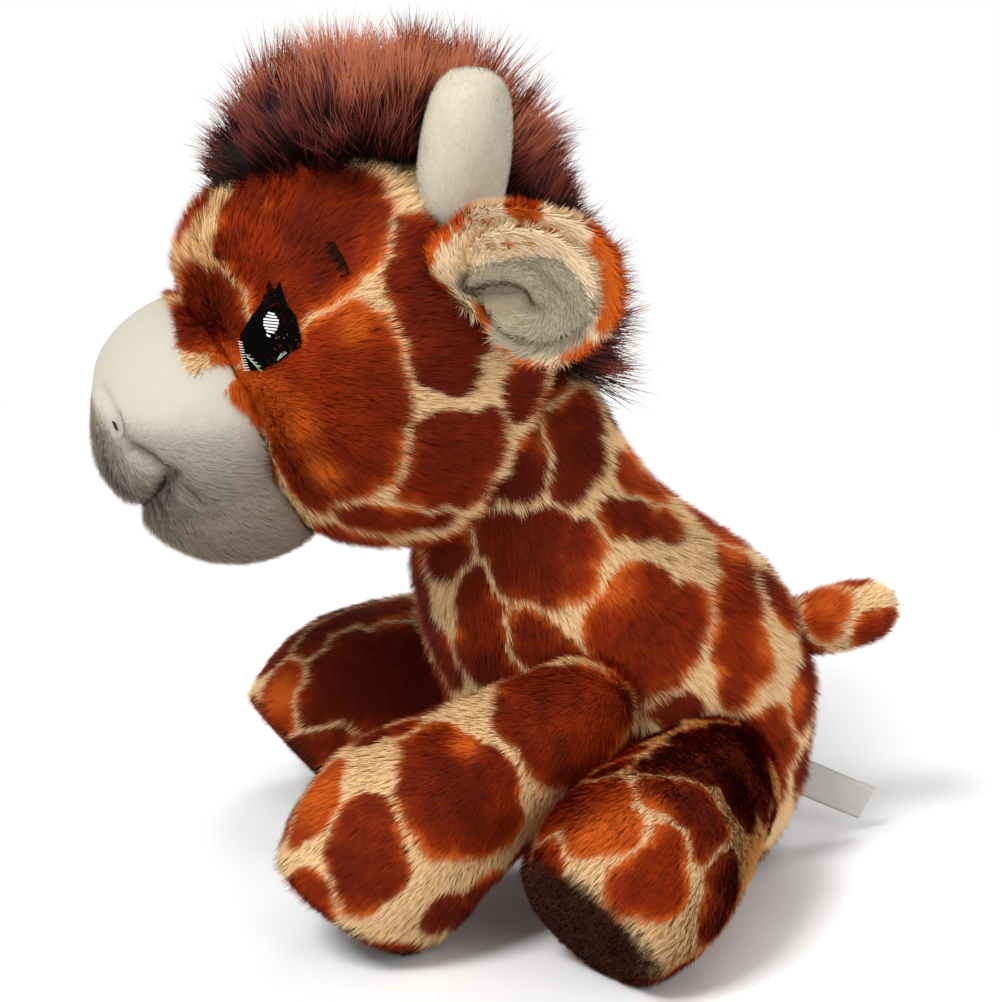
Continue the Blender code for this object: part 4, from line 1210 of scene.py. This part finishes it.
# the mouth's seam runs across the front of the muzzle, from one corner's stitches to the other's
low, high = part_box("mouth_stitch")
seamRows = []
for n in range(15):
    x = (n / 14 * 2 - 1) * high.x
    aim = Vector((x, low.y - 2 * mm, (low.z + high.z) / 2))
    place, normal, index, far = muzzleForm.find_nearest(aim)
    slant = Vector((0.6 * mm, 0, 1.7 * mm))
    ends = [muzzleForm.find_nearest(place + slant * share) for share in (-1, -0.5, 0, 0.5, 1)]
    seamRows.append([e[0] + e[1] * 0.5 * mm for e in ends])
sew("mouthThreads", mouthRows + mirroredRows(mouthRows) + seamRows, threads["mouth"], greyThread, "head",
    ("mouth_stitch",))
sewnPlaces = np.array([p[:] for rows in (eyeRows, mirroredRows(eyeRows)) for row in rows for p in row])
browPlaces = np.array([p[:] for rows in (browRows, mirroredRows(browRows)) for row in rows for p in row])


def enclosed(place, tree, aim=Vector((0.13, 0.21, 0.97)), skip=0.01 * mm):
    # an odd number of walls above a place means that a form holds it
    walls = 0
    spot, normal, index, far = tree.ray_cast(place, aim)
    while spot is not None:
        walls += 1
        spot, normal, index, far = tree.ray_cast(spot + aim * skip, aim)
    return walls % 2 == 1


def distances(places, tree, sure=1.0 * mm):
    # signed distance of each place to a form, negative inside it
    found = np.empty(len(places))
    for number, place in enumerate(places):
        place = Vector(place)
        near, normal, index, far = tree.find_nearest(place)
        inside = (place - near).dot(normal) <= 0 and (far < sure or enclosed(place, tree))
        found[number] = -far if inside else far
    return found


def nodeDistance(places, node):
    tree = treeOf(nodes[node])
    return np.array([tree.find_nearest(Vector(p))[3] for p in places])


def alongSurface(vectors, normals):
    return vectors - normals * (vectors * normals).sum(1, keepdims=True)


def groom(name, length, flow, hiddenBy=(), clearance=0.6 * mm):
    # cover, length and lean of the pile on a form's points
    mesh = made[name].data
    places, normals = pointsOf(mesh), normalsOf(mesh)
    cover = np.ones(len(places))
    for other in hiddenBy:
        cover *= ramp(distances(places, trees[other]), clearance - 0.8 * mm, clearance + 0.8 * mm)
    long = np.full(len(places), length, float) if np.isscalar(length) else length(places, normals)
    lean = alongSurface(flow(places, normals), normals)
    writeAttribute(mesh, "cover", cover)
    writeAttribute(mesh, "pile", long)
    writeAttribute(mesh, "flow", lean, "FLOAT_VECTOR")
    return places


def thinCover(name, share):
    mesh = made[name].data
    writeAttribute(mesh, "cover", readAttribute(mesh, "cover") * share)


def tintBacking(name, patches):
    mesh = made[name].data
    places = pointsOf(mesh)
    edge, tone = patchField(places, np.zeros_like(places), patches)
    writeAttribute(mesh, "edge", edge)
    writeAttribute(mesh, "tone", tone)
    writeAttribute(mesh, "pick", np.full(len(places), 0.5))


def dress(name, material, body, replaced):
    obj = made[name]
    obj.data.materials.clear()
    obj.data.materials.append(material)
    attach(obj, body)
    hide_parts(*replaced)


pileLengths = {
    "head": 5.8 * mm,
    "torso": 5.6 * mm,
    "tail": 4.0 * mm,
    "leg": 4.2 * mm,
    "cuff": 2.0 * mm,  # added beside the sole, so that the cuff hangs a little over it
    "ear": 4.2 * mm,
    "earFront": 3.8 * mm,
    "cup": 1.8 * mm,
    "muzzleEdge": 3.6 * mm,
    "crown": 0.9 * mm,
    "chin": 3.2 * mm,  # added under the muzzle
    "horn": 0.9 * mm,
    "sole": 1.3 * mm,
}

pileLean = {
    # amounts along the cloth, and steady pulls
    "head": 1.5,
    "headPull": (0, 0.15, -0.3),
    "nearEye": 0.9,
    "torsoPull": (0, 0.65, -1.3),
    "leg": 2.0,
    "tail": 1.5,
    "earBack": 1.5,
    "earFront": 0.6,
    "roundEar": 1.7,
    "muzzle": 1.7,
    "edge": 1.8,
    "edgePull": (0, -0.55, -1.0),
    "horn": 1.2,
    "mane": 1.7,
    "manePull": (0, 0.15, 0.05),
}

furStyle = {
    "perSquareMm": 6.0, "width": 0.34 * mm, "clump": 2.2 * mm, "pull": 0.25, "tilt": 0.3, "frizz": 0.22,
    "waveSize": 15 * mm, "wave": 0.75, "curve": 0.45, "spread": 0.7, "strand": "spike", "seed": 3,
    "ownNormal": 0.2,
}

muzzleCentre = np.array((0, -150, 150)) * mm
headCentre = np.array((0, -82, 180)) * mm


def headFlow(places, normals):
    lean = unit(places - muzzleCentre) * pileLean["head"] + np.array(pileLean["headPull"])
    # close to the sewn eye the pile lies flatter
    return lean * (1 + pileLean["nearEye"] * ramp(-nearest(places, sewnPlaces), -9 * mm, -2 * mm))[:, None]


def nearest(places, others):
    return np.array([min(np.linalg.norm(others - p, axis=1)) for p in places])


def headLength(places, normals):
    long = np.full(len(places), pileLengths["head"])
    toMuzzle = nodeDistance(places, "muzzle")
    for near, low, reach in ((nearest(places, sewnPlaces), 0.6, 6), (nearest(places, browPlaces), 0.6, 4),
                             (toMuzzle, 0.45, 9)):
        long *= low + (1 - low) * ramp(near, 1 * mm, reach * mm)
    return long


def torsoFlow(places, normals):
    return np.array(pileLean["torsoPull"]) * np.ones_like(places)


def flowAlong(start, end, amount):
    aim = unit(np.array(end) - np.array(start))
    return lambda places, normals: aim * amount * np.ones_like(places)


print("grooming")
groom("headPlush", headLength, headFlow, ("muzzlePlush", "torsoPlush", "maneCore", "hornLeftPlush",
                                         "hornRightPlush", "earLeftPlush", "earRightPlush"))
bare = ramp(nearest(pointsOf(made["headPlush"].data), sewnPlaces), 1.25 * mm, 1.7 * mm)
bare *= ramp(nearest(pointsOf(made["headPlush"].data), browPlaces), 1.6 * mm, 2.4 * mm)
thinCover("headPlush", bare)
groom("torsoPlush", pileLengths["torso"], torsoFlow, ("headPlush", "frontLegLeftPlush", "frontLegRightPlush",
                                         "hindLegLeftPlush", "hindLegRightPlush", "tailPlush"))


legs = {
    "frontLegLeft": ("front_leg_left", "front_sole_left", (0.050, -0.020, 0.066)),
    "frontLegRight": ("front_leg_right", "front_sole_right", (-0.050, -0.020, 0.066)),
    "hindLegLeft": ("hind_leg_left", "hind_sole_left", (0.050, 0.017, 0.041)),
    "hindLegRight": ("hind_leg_right", "hind_sole_right", (-0.050, 0.017, 0.041)),
}
for leg, (body, sole, start) in legs.items():
    low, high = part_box(sole)
    end = (low + high) / 2
    soleForm = leg.replace("Leg", "Sole") + "Plush"
    toSole = nodeDistance(pointsOf(made[leg + "Plush"].data), sole)
    length = pileLengths["leg"] + pileLengths["cuff"] * ramp(-toSole, -9 * mm, -2 * mm)
    groom(leg + "Plush", lambda places, normals, length=length: length,
          flowAlong(start, end, pileLean["leg"]), ("torsoPlush",), 0.5 * mm)
    cuff = ramp(distances(pointsOf(made[leg + "Plush"].data), trees[soleForm]), -0.9 * mm, 0.1 * mm)
    thinCover(leg + "Plush", cuff)
tailLine = ((0, 0.05, 0.075), (0, 0.09, 0.085))
groom("tailPlush", pileLengths["tail"], flowAlong(*tailLine, pileLean["tail"]), ("torsoPlush",))

earPatches = {"tones": (-0.5, -0.1), "reach": 0.8 * mm, "seenGap": 60 * mm, "unseenGap": 6 * mm, "largest": 5 * mm,
              "grown": 1.0, "extra": 0}
patches = {}
for seed, part in enumerate(("head", "torso", "tail", "frontLegLeft", "frontLegRight", "hindLegLeft"), 5):
    patches[part + "Plush"] = makePatches(made[part + "Plush"], drawnPatches[part], seed, glows=drawnPaintedLights[part],
                                          mirrorFrom=9 * mm if part in ("head", "torso") else None)
patches["hindLegRightPlush"] = mirroredPatches(patches["hindLegLeftPlush"])
earDrawn = [(earFront["orange"], earFront[part]) for part in ("rim", "streak", "left", "under")]
patches["earLeftPlush"] = makePatches(made["earLeftPlush"], earDrawn, 12, **earPatches)
patches["earRightPlush"] = mirroredPatches(patches["earLeftPlush"])
for name, found in patches.items():
    tintBacking(name, found)

torsoX = pointsOf(made["torsoPlush"].data)[:, 0]
headX = pointsOf(made["headPlush"].data)[:, 0]
leftOf = {"torsoPlush": ramp(torsoX, -2 * mm, 2 * mm), "headPlush": ramp(headX, -2 * mm, 2 * mm)}
for name, body, slot, replaced in (
    ("torsoPlush", "torso", "torso_skin", ("torso_skin", "torso_filling")),
    ("headPlush", "head", "head_skin", ("head_skin", "head_filling")),
):
    stem = name.replace("Plush", "Fur")
    growPile(stem + "Left", made[name], furStyle, patchedFur, body, patches[name], leftOf[name])
    growPile(stem + "Right", made[name], {**furStyle, "seed": 4}, patchedFur, body, patches[name],
             1 - leftOf[name])
    dress(name, patchedBacking, body, replaced)
for leg, (body, sole, start) in legs.items():
    name = leg + "Plush"
    growPile(leg + "Fur", made[name], {**furStyle, "seed": 5}, patchedFur, body, patches[name])
    dress(name, patchedBacking, body, (body + "_skin", body + "_filling"))
growPile("tailFur", made["tailPlush"], {**furStyle, "seed": 6}, patchedFur, "tail", patches["tailPlush"])
dress("tailPlush", patchedBacking, "tail", ("tail",))
print("body fur is grown")


# ears

def toPixels(places):
    offset = places - np.array(camera["target"])
    depth = camera["distance"] - offset @ np.array(cameraBack)
    across = camera["width"] / 2 + focalPixels * (offset @ np.array(cameraRight)) / depth
    down = camera["height"] / 2 - focalPixels * (offset @ np.array(cameraUp)) / depth
    return np.stack([across, down], 1)


def insideBy(pixels, outline):
    # how far inside an outline each pixel is, negative outside it
    corners = np.array(outline, float)
    away, inside = np.full(len(pixels), 1e9), np.zeros(len(pixels), bool)
    for a, b in zip(np.roll(corners, 1, axis=0), corners):
        run = b - a
        share = np.clip(((pixels - a) @ run) / (run @ run), 0, 1)
        away = np.minimum(away, np.linalg.norm(pixels - a - share[:, None] * run, axis=1))
        crosses = (a[1] > pixels[:, 1]) != (b[1] > pixels[:, 1])
        level = a[0] + (pixels[:, 1] - a[1]) * run[0] / (run[1] if run[1] else 1e-9)
        inside ^= crosses & (pixels[:, 0] < level)
    return np.where(inside, away, -away)


def paleCloth(edge, tone):
    return np.where(edge > earFront["paleFrom"], tone, earFront["tone"])


earMiddle = np.array(onForm(trees["liningLeftPlush"], 522, 300)[0])
earStyle = {**furStyle, "seed": 7, "clump": 2.6 * mm, "wave": 0.5}
liningStyle = {**furStyle, "seed": 8, "pull": 0.2, "wave": 0.5, "ownNormal": 0.1}
for side, sign in (("Left", 1), ("Right", -1)):
    body = "ear_" + side.lower()
    lining = "ear_lining_" + side.lower()
    earName, liningName = "ear" + side + "Plush", "lining" + side + "Plush"
    start = np.array((sign * 47, -62, 205)) * mm

    def earFlow(places, normals, start=start, sign=sign):
        # combed round the ear on its front, and out to the rim on its back
        out = unit(places - start)
        front = ramp(normals[:, 0] * sign, 0.2, 0.5)[:, None]
        around = np.cross(normals, unit(places - earMiddle * (sign, 1, 1))) * (-sign)
        outward = pileLean["earBack"] + (pileLean["earFront"] - pileLean["earBack"]) * front
        return out * outward + around * pileLean["roundEar"] * front

    def inCup(places, sign=sign):
        return insideBy(toPixels(places * (sign, 1, 1)), earFront["cup"]) * camera["pixelAtTarget"]

    def liningLength(places, normals):
        return np.where(inCup(places) > 0, pileLengths["cup"], pileLengths["earFront"])

    groom(earName, pileLengths["ear"], earFlow, ("headPlush", liningName), 0.3 * mm)
    groom(liningName, liningLength, earFlow, ("headPlush",), 0.0)
    tintBacking(liningName, patches[earName])
    lined = made[liningName].data
    tone = np.where(readAttribute(lined, "edge") > 0, readAttribute(lined, "tone"), earFront["tone"])
    writeAttribute(lined, "tone", tone)
    writeAttribute(lined, "cup", ramp(inCup(pointsOf(lined)), -0.8 * mm, 0.8 * mm))
    for name, cupPiece, clothPiece in ((earName, "cupEdge" + side + "Pile", "ear" + side + "Fur"),
                                       (liningName, "lining" + side + "Pile", "earFront" + side + "Fur")):
        places = pointsOf(made[name].data)
        nearCup = ramp(-np.abs(distances(places, trees[liningName])), -7 * mm, -5 * mm)
        cup = ramp(inCup(places), -0.5 * mm, 0.5 * mm) * nearCup
        if name == earName:  # the ear's back keeps its patches behind the cup
            cup = cup * ramp(normalsOf(made[name].data)[:, 0] * sign, -0.2, 0.1)
        growPile(cupPiece, made[name], liningStyle, liningPile, body, share=cup)
        growPile(clothPiece, made[name], earStyle, patchedFur, body, patches[earName], 1 - cup,
                 retint=paleCloth)
    dress(earName, patchedBacking, body, (body,))
    dress(liningName, liningBacking, body, (lining,))
print("ears are grown")


# muzzle and horns: short dense pile

shortStyle = {**furStyle, "perSquareMm": 7.5, "width": 0.24 * mm, "clump": 1.6 * mm, "pull": 0.15, "tilt": 0.15,
              "frizz": 0.22, "waveSize": 9 * mm, "wave": 0.4, "ownNormal": 0.06}


muzzleTip = np.array((0, -182, 152)) * mm


def muzzleFlow(places, normals):
    # combed back from the tip of the nose, and down over the cheeks
    away = alongSurface(places - muzzleTip + np.array((0, 0, -0.01)), normals)
    return unit(away) * pileLean["muzzle"]


def muzzleLength(places, normals):
    # hardly any on the crown, combed and longer below, short in the folds
    long = pileLengths["crown"] + pileLengths["chin"] * ramp(-places[:, 2], -166 * mm, -142 * mm)
    return long * (0.35 + 0.65 * ramp(nearest(places, muzzleCreases), 1 * mm, 5 * mm))


# the face's fur runs a little way over the muzzle's edge
muzzleEdge = [(150, 270), (165, 295), (172, 310), (177, 327), (179, 345), (184, 358), (190, 369), (198, 377),
              (205, 368), (216, 366), (230, 367), (238, 373), (231, 381), (226, 389), (231, 400), (240, 408),
              (247, 414), (253, 425), (259, 437), (263, 450), (272, 480), (340, 480), (340, 270)]


def overMuzzle(places):
    seen = np.stack([np.abs(places[:, 0]), places[:, 1], places[:, 2]], 1)
    return insideBy(toPixels(seen), muzzleEdge) * camera["pixelAtTarget"]


def edgeFlow(places, normals):
    pull = np.array(pileLean["edgePull"]) * np.ones_like(places)
    return unit(alongSurface(pull, normals)) * pileLean["edge"]


places = groom("muzzlePlush", pileLengths["muzzleEdge"], edgeFlow, ("headPlush",), 0.2 * mm)
furred = ramp(overMuzzle(places), 0.4 * mm, 1.2 * mm)
tintBacking("muzzlePlush", patches["headPlush"])
writeAttribute(made["muzzlePlush"].data, "furred", furred)
growPile("faceEdgeFur", made["muzzlePlush"], {**furStyle, "seed": 13, "perSquareMm": 7.0}, patchedFur, "head",
         patches["headPlush"], furred)
groom("muzzlePlush", muzzleLength, muzzleFlow, ("headPlush",), 0.2 * mm)
combed = ramp(-places[:, 2], -167 * mm, -156 * mm)
growPile("muzzleFur", made["muzzlePlush"], {**shortStyle, "seed": 9}, muzzlePile, "head",
         share=combed * (1 - furred))
dress("muzzlePlush", muzzleBacking, "head", ("muzzle",))
for side in ("Left", "Right"):
    body = "horn_" + side.lower()
    name = "horn" + side + "Plush"
    groom(name, pileLengths["horn"], flowAlong((0, 0, 0), (0, 0, 1), pileLean["horn"]), ("headPlush",), 0.2 * mm)
    growPile("horn" + side + "Fur", made[name], {**shortStyle, "seed": 10, "width": 0.18 * mm}, hornPile, body)
    dress(name, hornBacking, body, (body,))


# soles: short dark fleece

for leg, (body, sole, start) in legs.items():
    name = leg.replace("Leg", "Sole") + "Plush"
    groom(name, pileLengths["sole"], lambda places, normals: np.zeros_like(places), (leg + "Plush",), 0.1 * mm)
    growPile(name.replace("Plush", "Pile"), made[name],
             {**shortStyle, "seed": 11, "clump": 1.1 * mm, "tilt": 1.6, "frizz": 0.7}, solePile, body)
    dress(name, soleBacking, body, (sole,))


# the woven label, a ribbon folded at its far end

label = {
    "root": Vector((0, 55.6 * mm, 23.7 * mm)),
    "aim": Vector((0, 0.88, -0.42)).normalized(),
    "length": 29.4 * mm,
    "width": 12.5 * mm,
    "gap": 0.35 * mm,  # half the distance between the two layers
    "bow": 1.0 * mm,
    "thickness": 0.14 * mm,
    "steps": 26,
    "strips": 10,
    "foldSteps": 6,
    "opening": 4,  # the layers reach their full gap at one over this share of the length
    "bowTurn": 2.6,  # radians of the bow's wave along the label
    "twist": 0.5 * mm,
}


def makeLabelCloth():
    material, graph = newShader("labelSatin")
    place = graph.add("ShaderNodeUVMap", {"uv_map": "OFBake"})
    across = graph.add("ShaderNodeSeparateXYZ", None, {"Vector": place}, out="X")
    along = across.other("Y")
    rib = graph.add("ShaderNodeMath", {"operation": "SINE"}, {0: along * 900.0})
    fine = graph.add("ShaderNodeMath", {"operation": "SINE"}, {0: across * 260.0})
    weave = rib * 0.5 + fine * 0.35
    centre = (across - 0.5) * (across - 0.5) * 4.0
    selvedge = graph.smooth(centre, 0.8, 0.88)
    soft = graph.cloud(place, 9.0, 3.0)
    # partly painted shade: the label's light cloth is coloured greyer for the shade that it lies in; darker selvedges
    colour = graph.mix(soft, paint(178, 175, 170), paint(196, 193, 188))
    colour = graph.mix(selvedge * 0.5, colour, paint(160, 157, 152))
    bump = graph.bump(weave + selvedge, 0.35, 0.08 * mm)
    finishShader(graph, {"Base Color": colour, "Roughness": 0.42 + soft * 0.12, "Sheen Weight": 0.15,
                         "Normal": bump})
    return material


def makeLabel():
    rise = label["aim"].cross(Vector((1, 0, 0))).normalized()
    if rise.z < 0:
        rise = -rise
    line = []  # share along the ribbon, distance from the root, distance sideways
    for n in range(label["steps"] + 1):
        share = n / label["steps"]
        line.append((share * label["length"], label["gap"] * (0.5 + 0.5 * min(1, share * label["opening"]))))
    for n in range(1, label["foldSteps"]):
        turn = math.pi * n / label["foldSteps"]
        line.append((label["length"] + math.sin(turn) * label["gap"], math.cos(turn) * label["gap"]))
    for n in range(label["steps"], -1, -1):
        share = n / label["steps"]
        line.append((share * label["length"], -label["gap"] * (0.5 + 0.5 * min(1, share * label["opening"]))))
    points, faces, places = [], [], []
    for step, (far, aside) in enumerate(line):
        for strip in range(label["strips"] + 1):
            over = strip / label["strips"] - 0.5
            bend = (label["bow"] * math.sin(far / label["length"] * label["bowTurn"])
                    + label["twist"] * over * far / label["length"])
            spot = label["root"] + label["aim"] * far + rise * over * label["width"]
            points.append(spot + Vector((aside + bend, 0, 0)))
            places.append((over + 0.5, step / (len(line) - 1)))
    row = label["strips"] + 1
    for step in range(len(line) - 1):
        for strip in range(label["strips"]):
            first = step * row + strip
            faces.append((first, first + 1, first + row + 1, first + row))
    obj = madeFrom("labelRibbon", points, faces)
    layer = obj.data.uv_layers.new(name="OFBake")
    for loop in obj.data.loops:
        layer.data[loop.index].uv = places[loop.vertex_index]
    thick = obj.modifiers.new("thick", "SOLIDIFY")
    thick.thickness = label["thickness"]
    thick.offset = 0
    obj.data.materials.append(makeLabelCloth())
    smoothShaded(applied(obj))
    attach(obj, "label")
    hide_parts("seat_label")


makeLabel()
print("label is sewn")


# mane

maneStyle = {**furStyle, "perSquareMm": 4.9, "width": 0.32 * mm, "clump": 4.6 * mm, "pull": 0.8, "tilt": 1.3,
             "frizz": 0.32, "waveSize": 14 * mm, "wave": 1.0, "curve": 0.6, "spread": 0.9, "strand": "lock",
             "ownNormal": 0.35, "seed": 12}


def maneFlow(places, normals):
    return unit(places - headCentre) * pileLean["mane"] + np.array(pileLean["manePull"])


def maneLength(places, normals):
    # longest over the crown, shorter on the brow and down the neck
    back = np.degrees(np.arctan2(places[:, 1] - headCentre[1], places[:, 2] - headCentre[2]))
    tufts = np.array([noise.noise(Vector(place) / maneTufts["size"]) for place in places])
    return np.interp(back, *maneLengths) * mm * (1 + maneTufts["spread"] * tufts)


maneTufts = {"size": 10 * mm, "spread": 0.55}
maneLengths = ((-60, -35, -12, 20, 38, 60, 82, 105, 120), (8, 13, 22, 21, 14, 13, 17, 19, 20))
groom("maneCore", maneLength, maneFlow, ("headPlush",), 0.3 * mm)
growPile("maneHair", made["maneCore"], maneStyle, manePile, "head")
dress("maneCore", maneBacking, "head", ("mane",))

for obj in strands.values():
    bpy.data.objects.remove(obj)
print("mane is grown")


# studio

studio = {
    "floorHalf": 6.0,
    "floorColour": (0.88, 0.88, 0.88, 1),
    "whiteFrom": 0.16,  # beyond this reach the floor turns to the white of the backdrop
    "whiteAt": 0.75,
    "sky": (0.42, 0.42, 0.43, 1),
    "lamps": (
        # name, place, size, power
        ("keyLamp", (2.0, -2.4, 4.0), 1.6, 215),
        ("fillLamp", (3.6, 1.8, 2.2), 2.4, 62),
        ("rearLamp", (-2.8, 1.6, 3.4), 2.2, 70),
    ),
}


def directlySeen(graph):
    path = graph.add("ShaderNodeLightPath", None, None, out="Is Camera Ray")
    return path + path.other("Is Glossy Ray") + path.other("Is Transmission Ray")


def makeStudio():
    half = studio["floorHalf"]
    floorMesh = bpy.data.meshes.new("studioFloor")
    floorMesh.from_pydata([(-half, -half, 0), (half, -half, 0), (half, half, 0), (-half, half, 0)], [],
                          [(0, 1, 2, 3)])
    floor = bpy.data.objects.new("studioFloor", floorMesh)
    bpy.context.scene.collection.objects.link(floor)
    material, graph = newShader("studioFloor")
    place = graph.place()
    away = graph.vector("LENGTH", place).other("Value")
    white = graph.smooth(away, studio["whiteFrom"], studio["whiteAt"]) * directlySeen(graph)
    paper = graph.add("ShaderNodeBsdfPrincipled", None,
                      {"Base Color": studio["floorColour"], "Roughness": 0.9, "Specular IOR Level": 0.0})
    light = graph.add("ShaderNodeEmission", None, {"Color": (1, 1, 1, 1), "Strength": 1.0})
    surface = graph.add("ShaderNodeMixShader", None, {0: white, 1: paper, 2: light})
    graph.add("ShaderNodeOutputMaterial", None, {"Surface": surface})
    floorMesh.materials.append(material)
    world = bpy.data.worlds.new("studioWorld")
    bpy.context.scene.world = world
    world.use_nodes = True
    world.node_tree.nodes.clear()
    graph = Graph(world.node_tree)
    colour = graph.mix(directlySeen(graph), studio["sky"], (1, 1, 1, 1))
    sky = graph.add("ShaderNodeBackground", None, {"Color": colour, "Strength": 1.0})
    graph.add("ShaderNodeOutputWorld", None, {"Surface": sky})
    for name, place, size, power in studio["lamps"]:
        data = bpy.data.lights.new(name, "AREA")
        data.size = size
        data.energy = power
        lamp = bpy.data.objects.new(name, data)
        lamp.location = place
        lamp.rotation_mode = "QUATERNION"
        lamp.rotation_quaternion = (camera["target"] - Vector(place)).to_track_quat("-Z", "Y")
        bpy.context.scene.collection.objects.link(lamp)


makeStudio()
bpy.context.scene.view_settings.view_transform = "Standard"
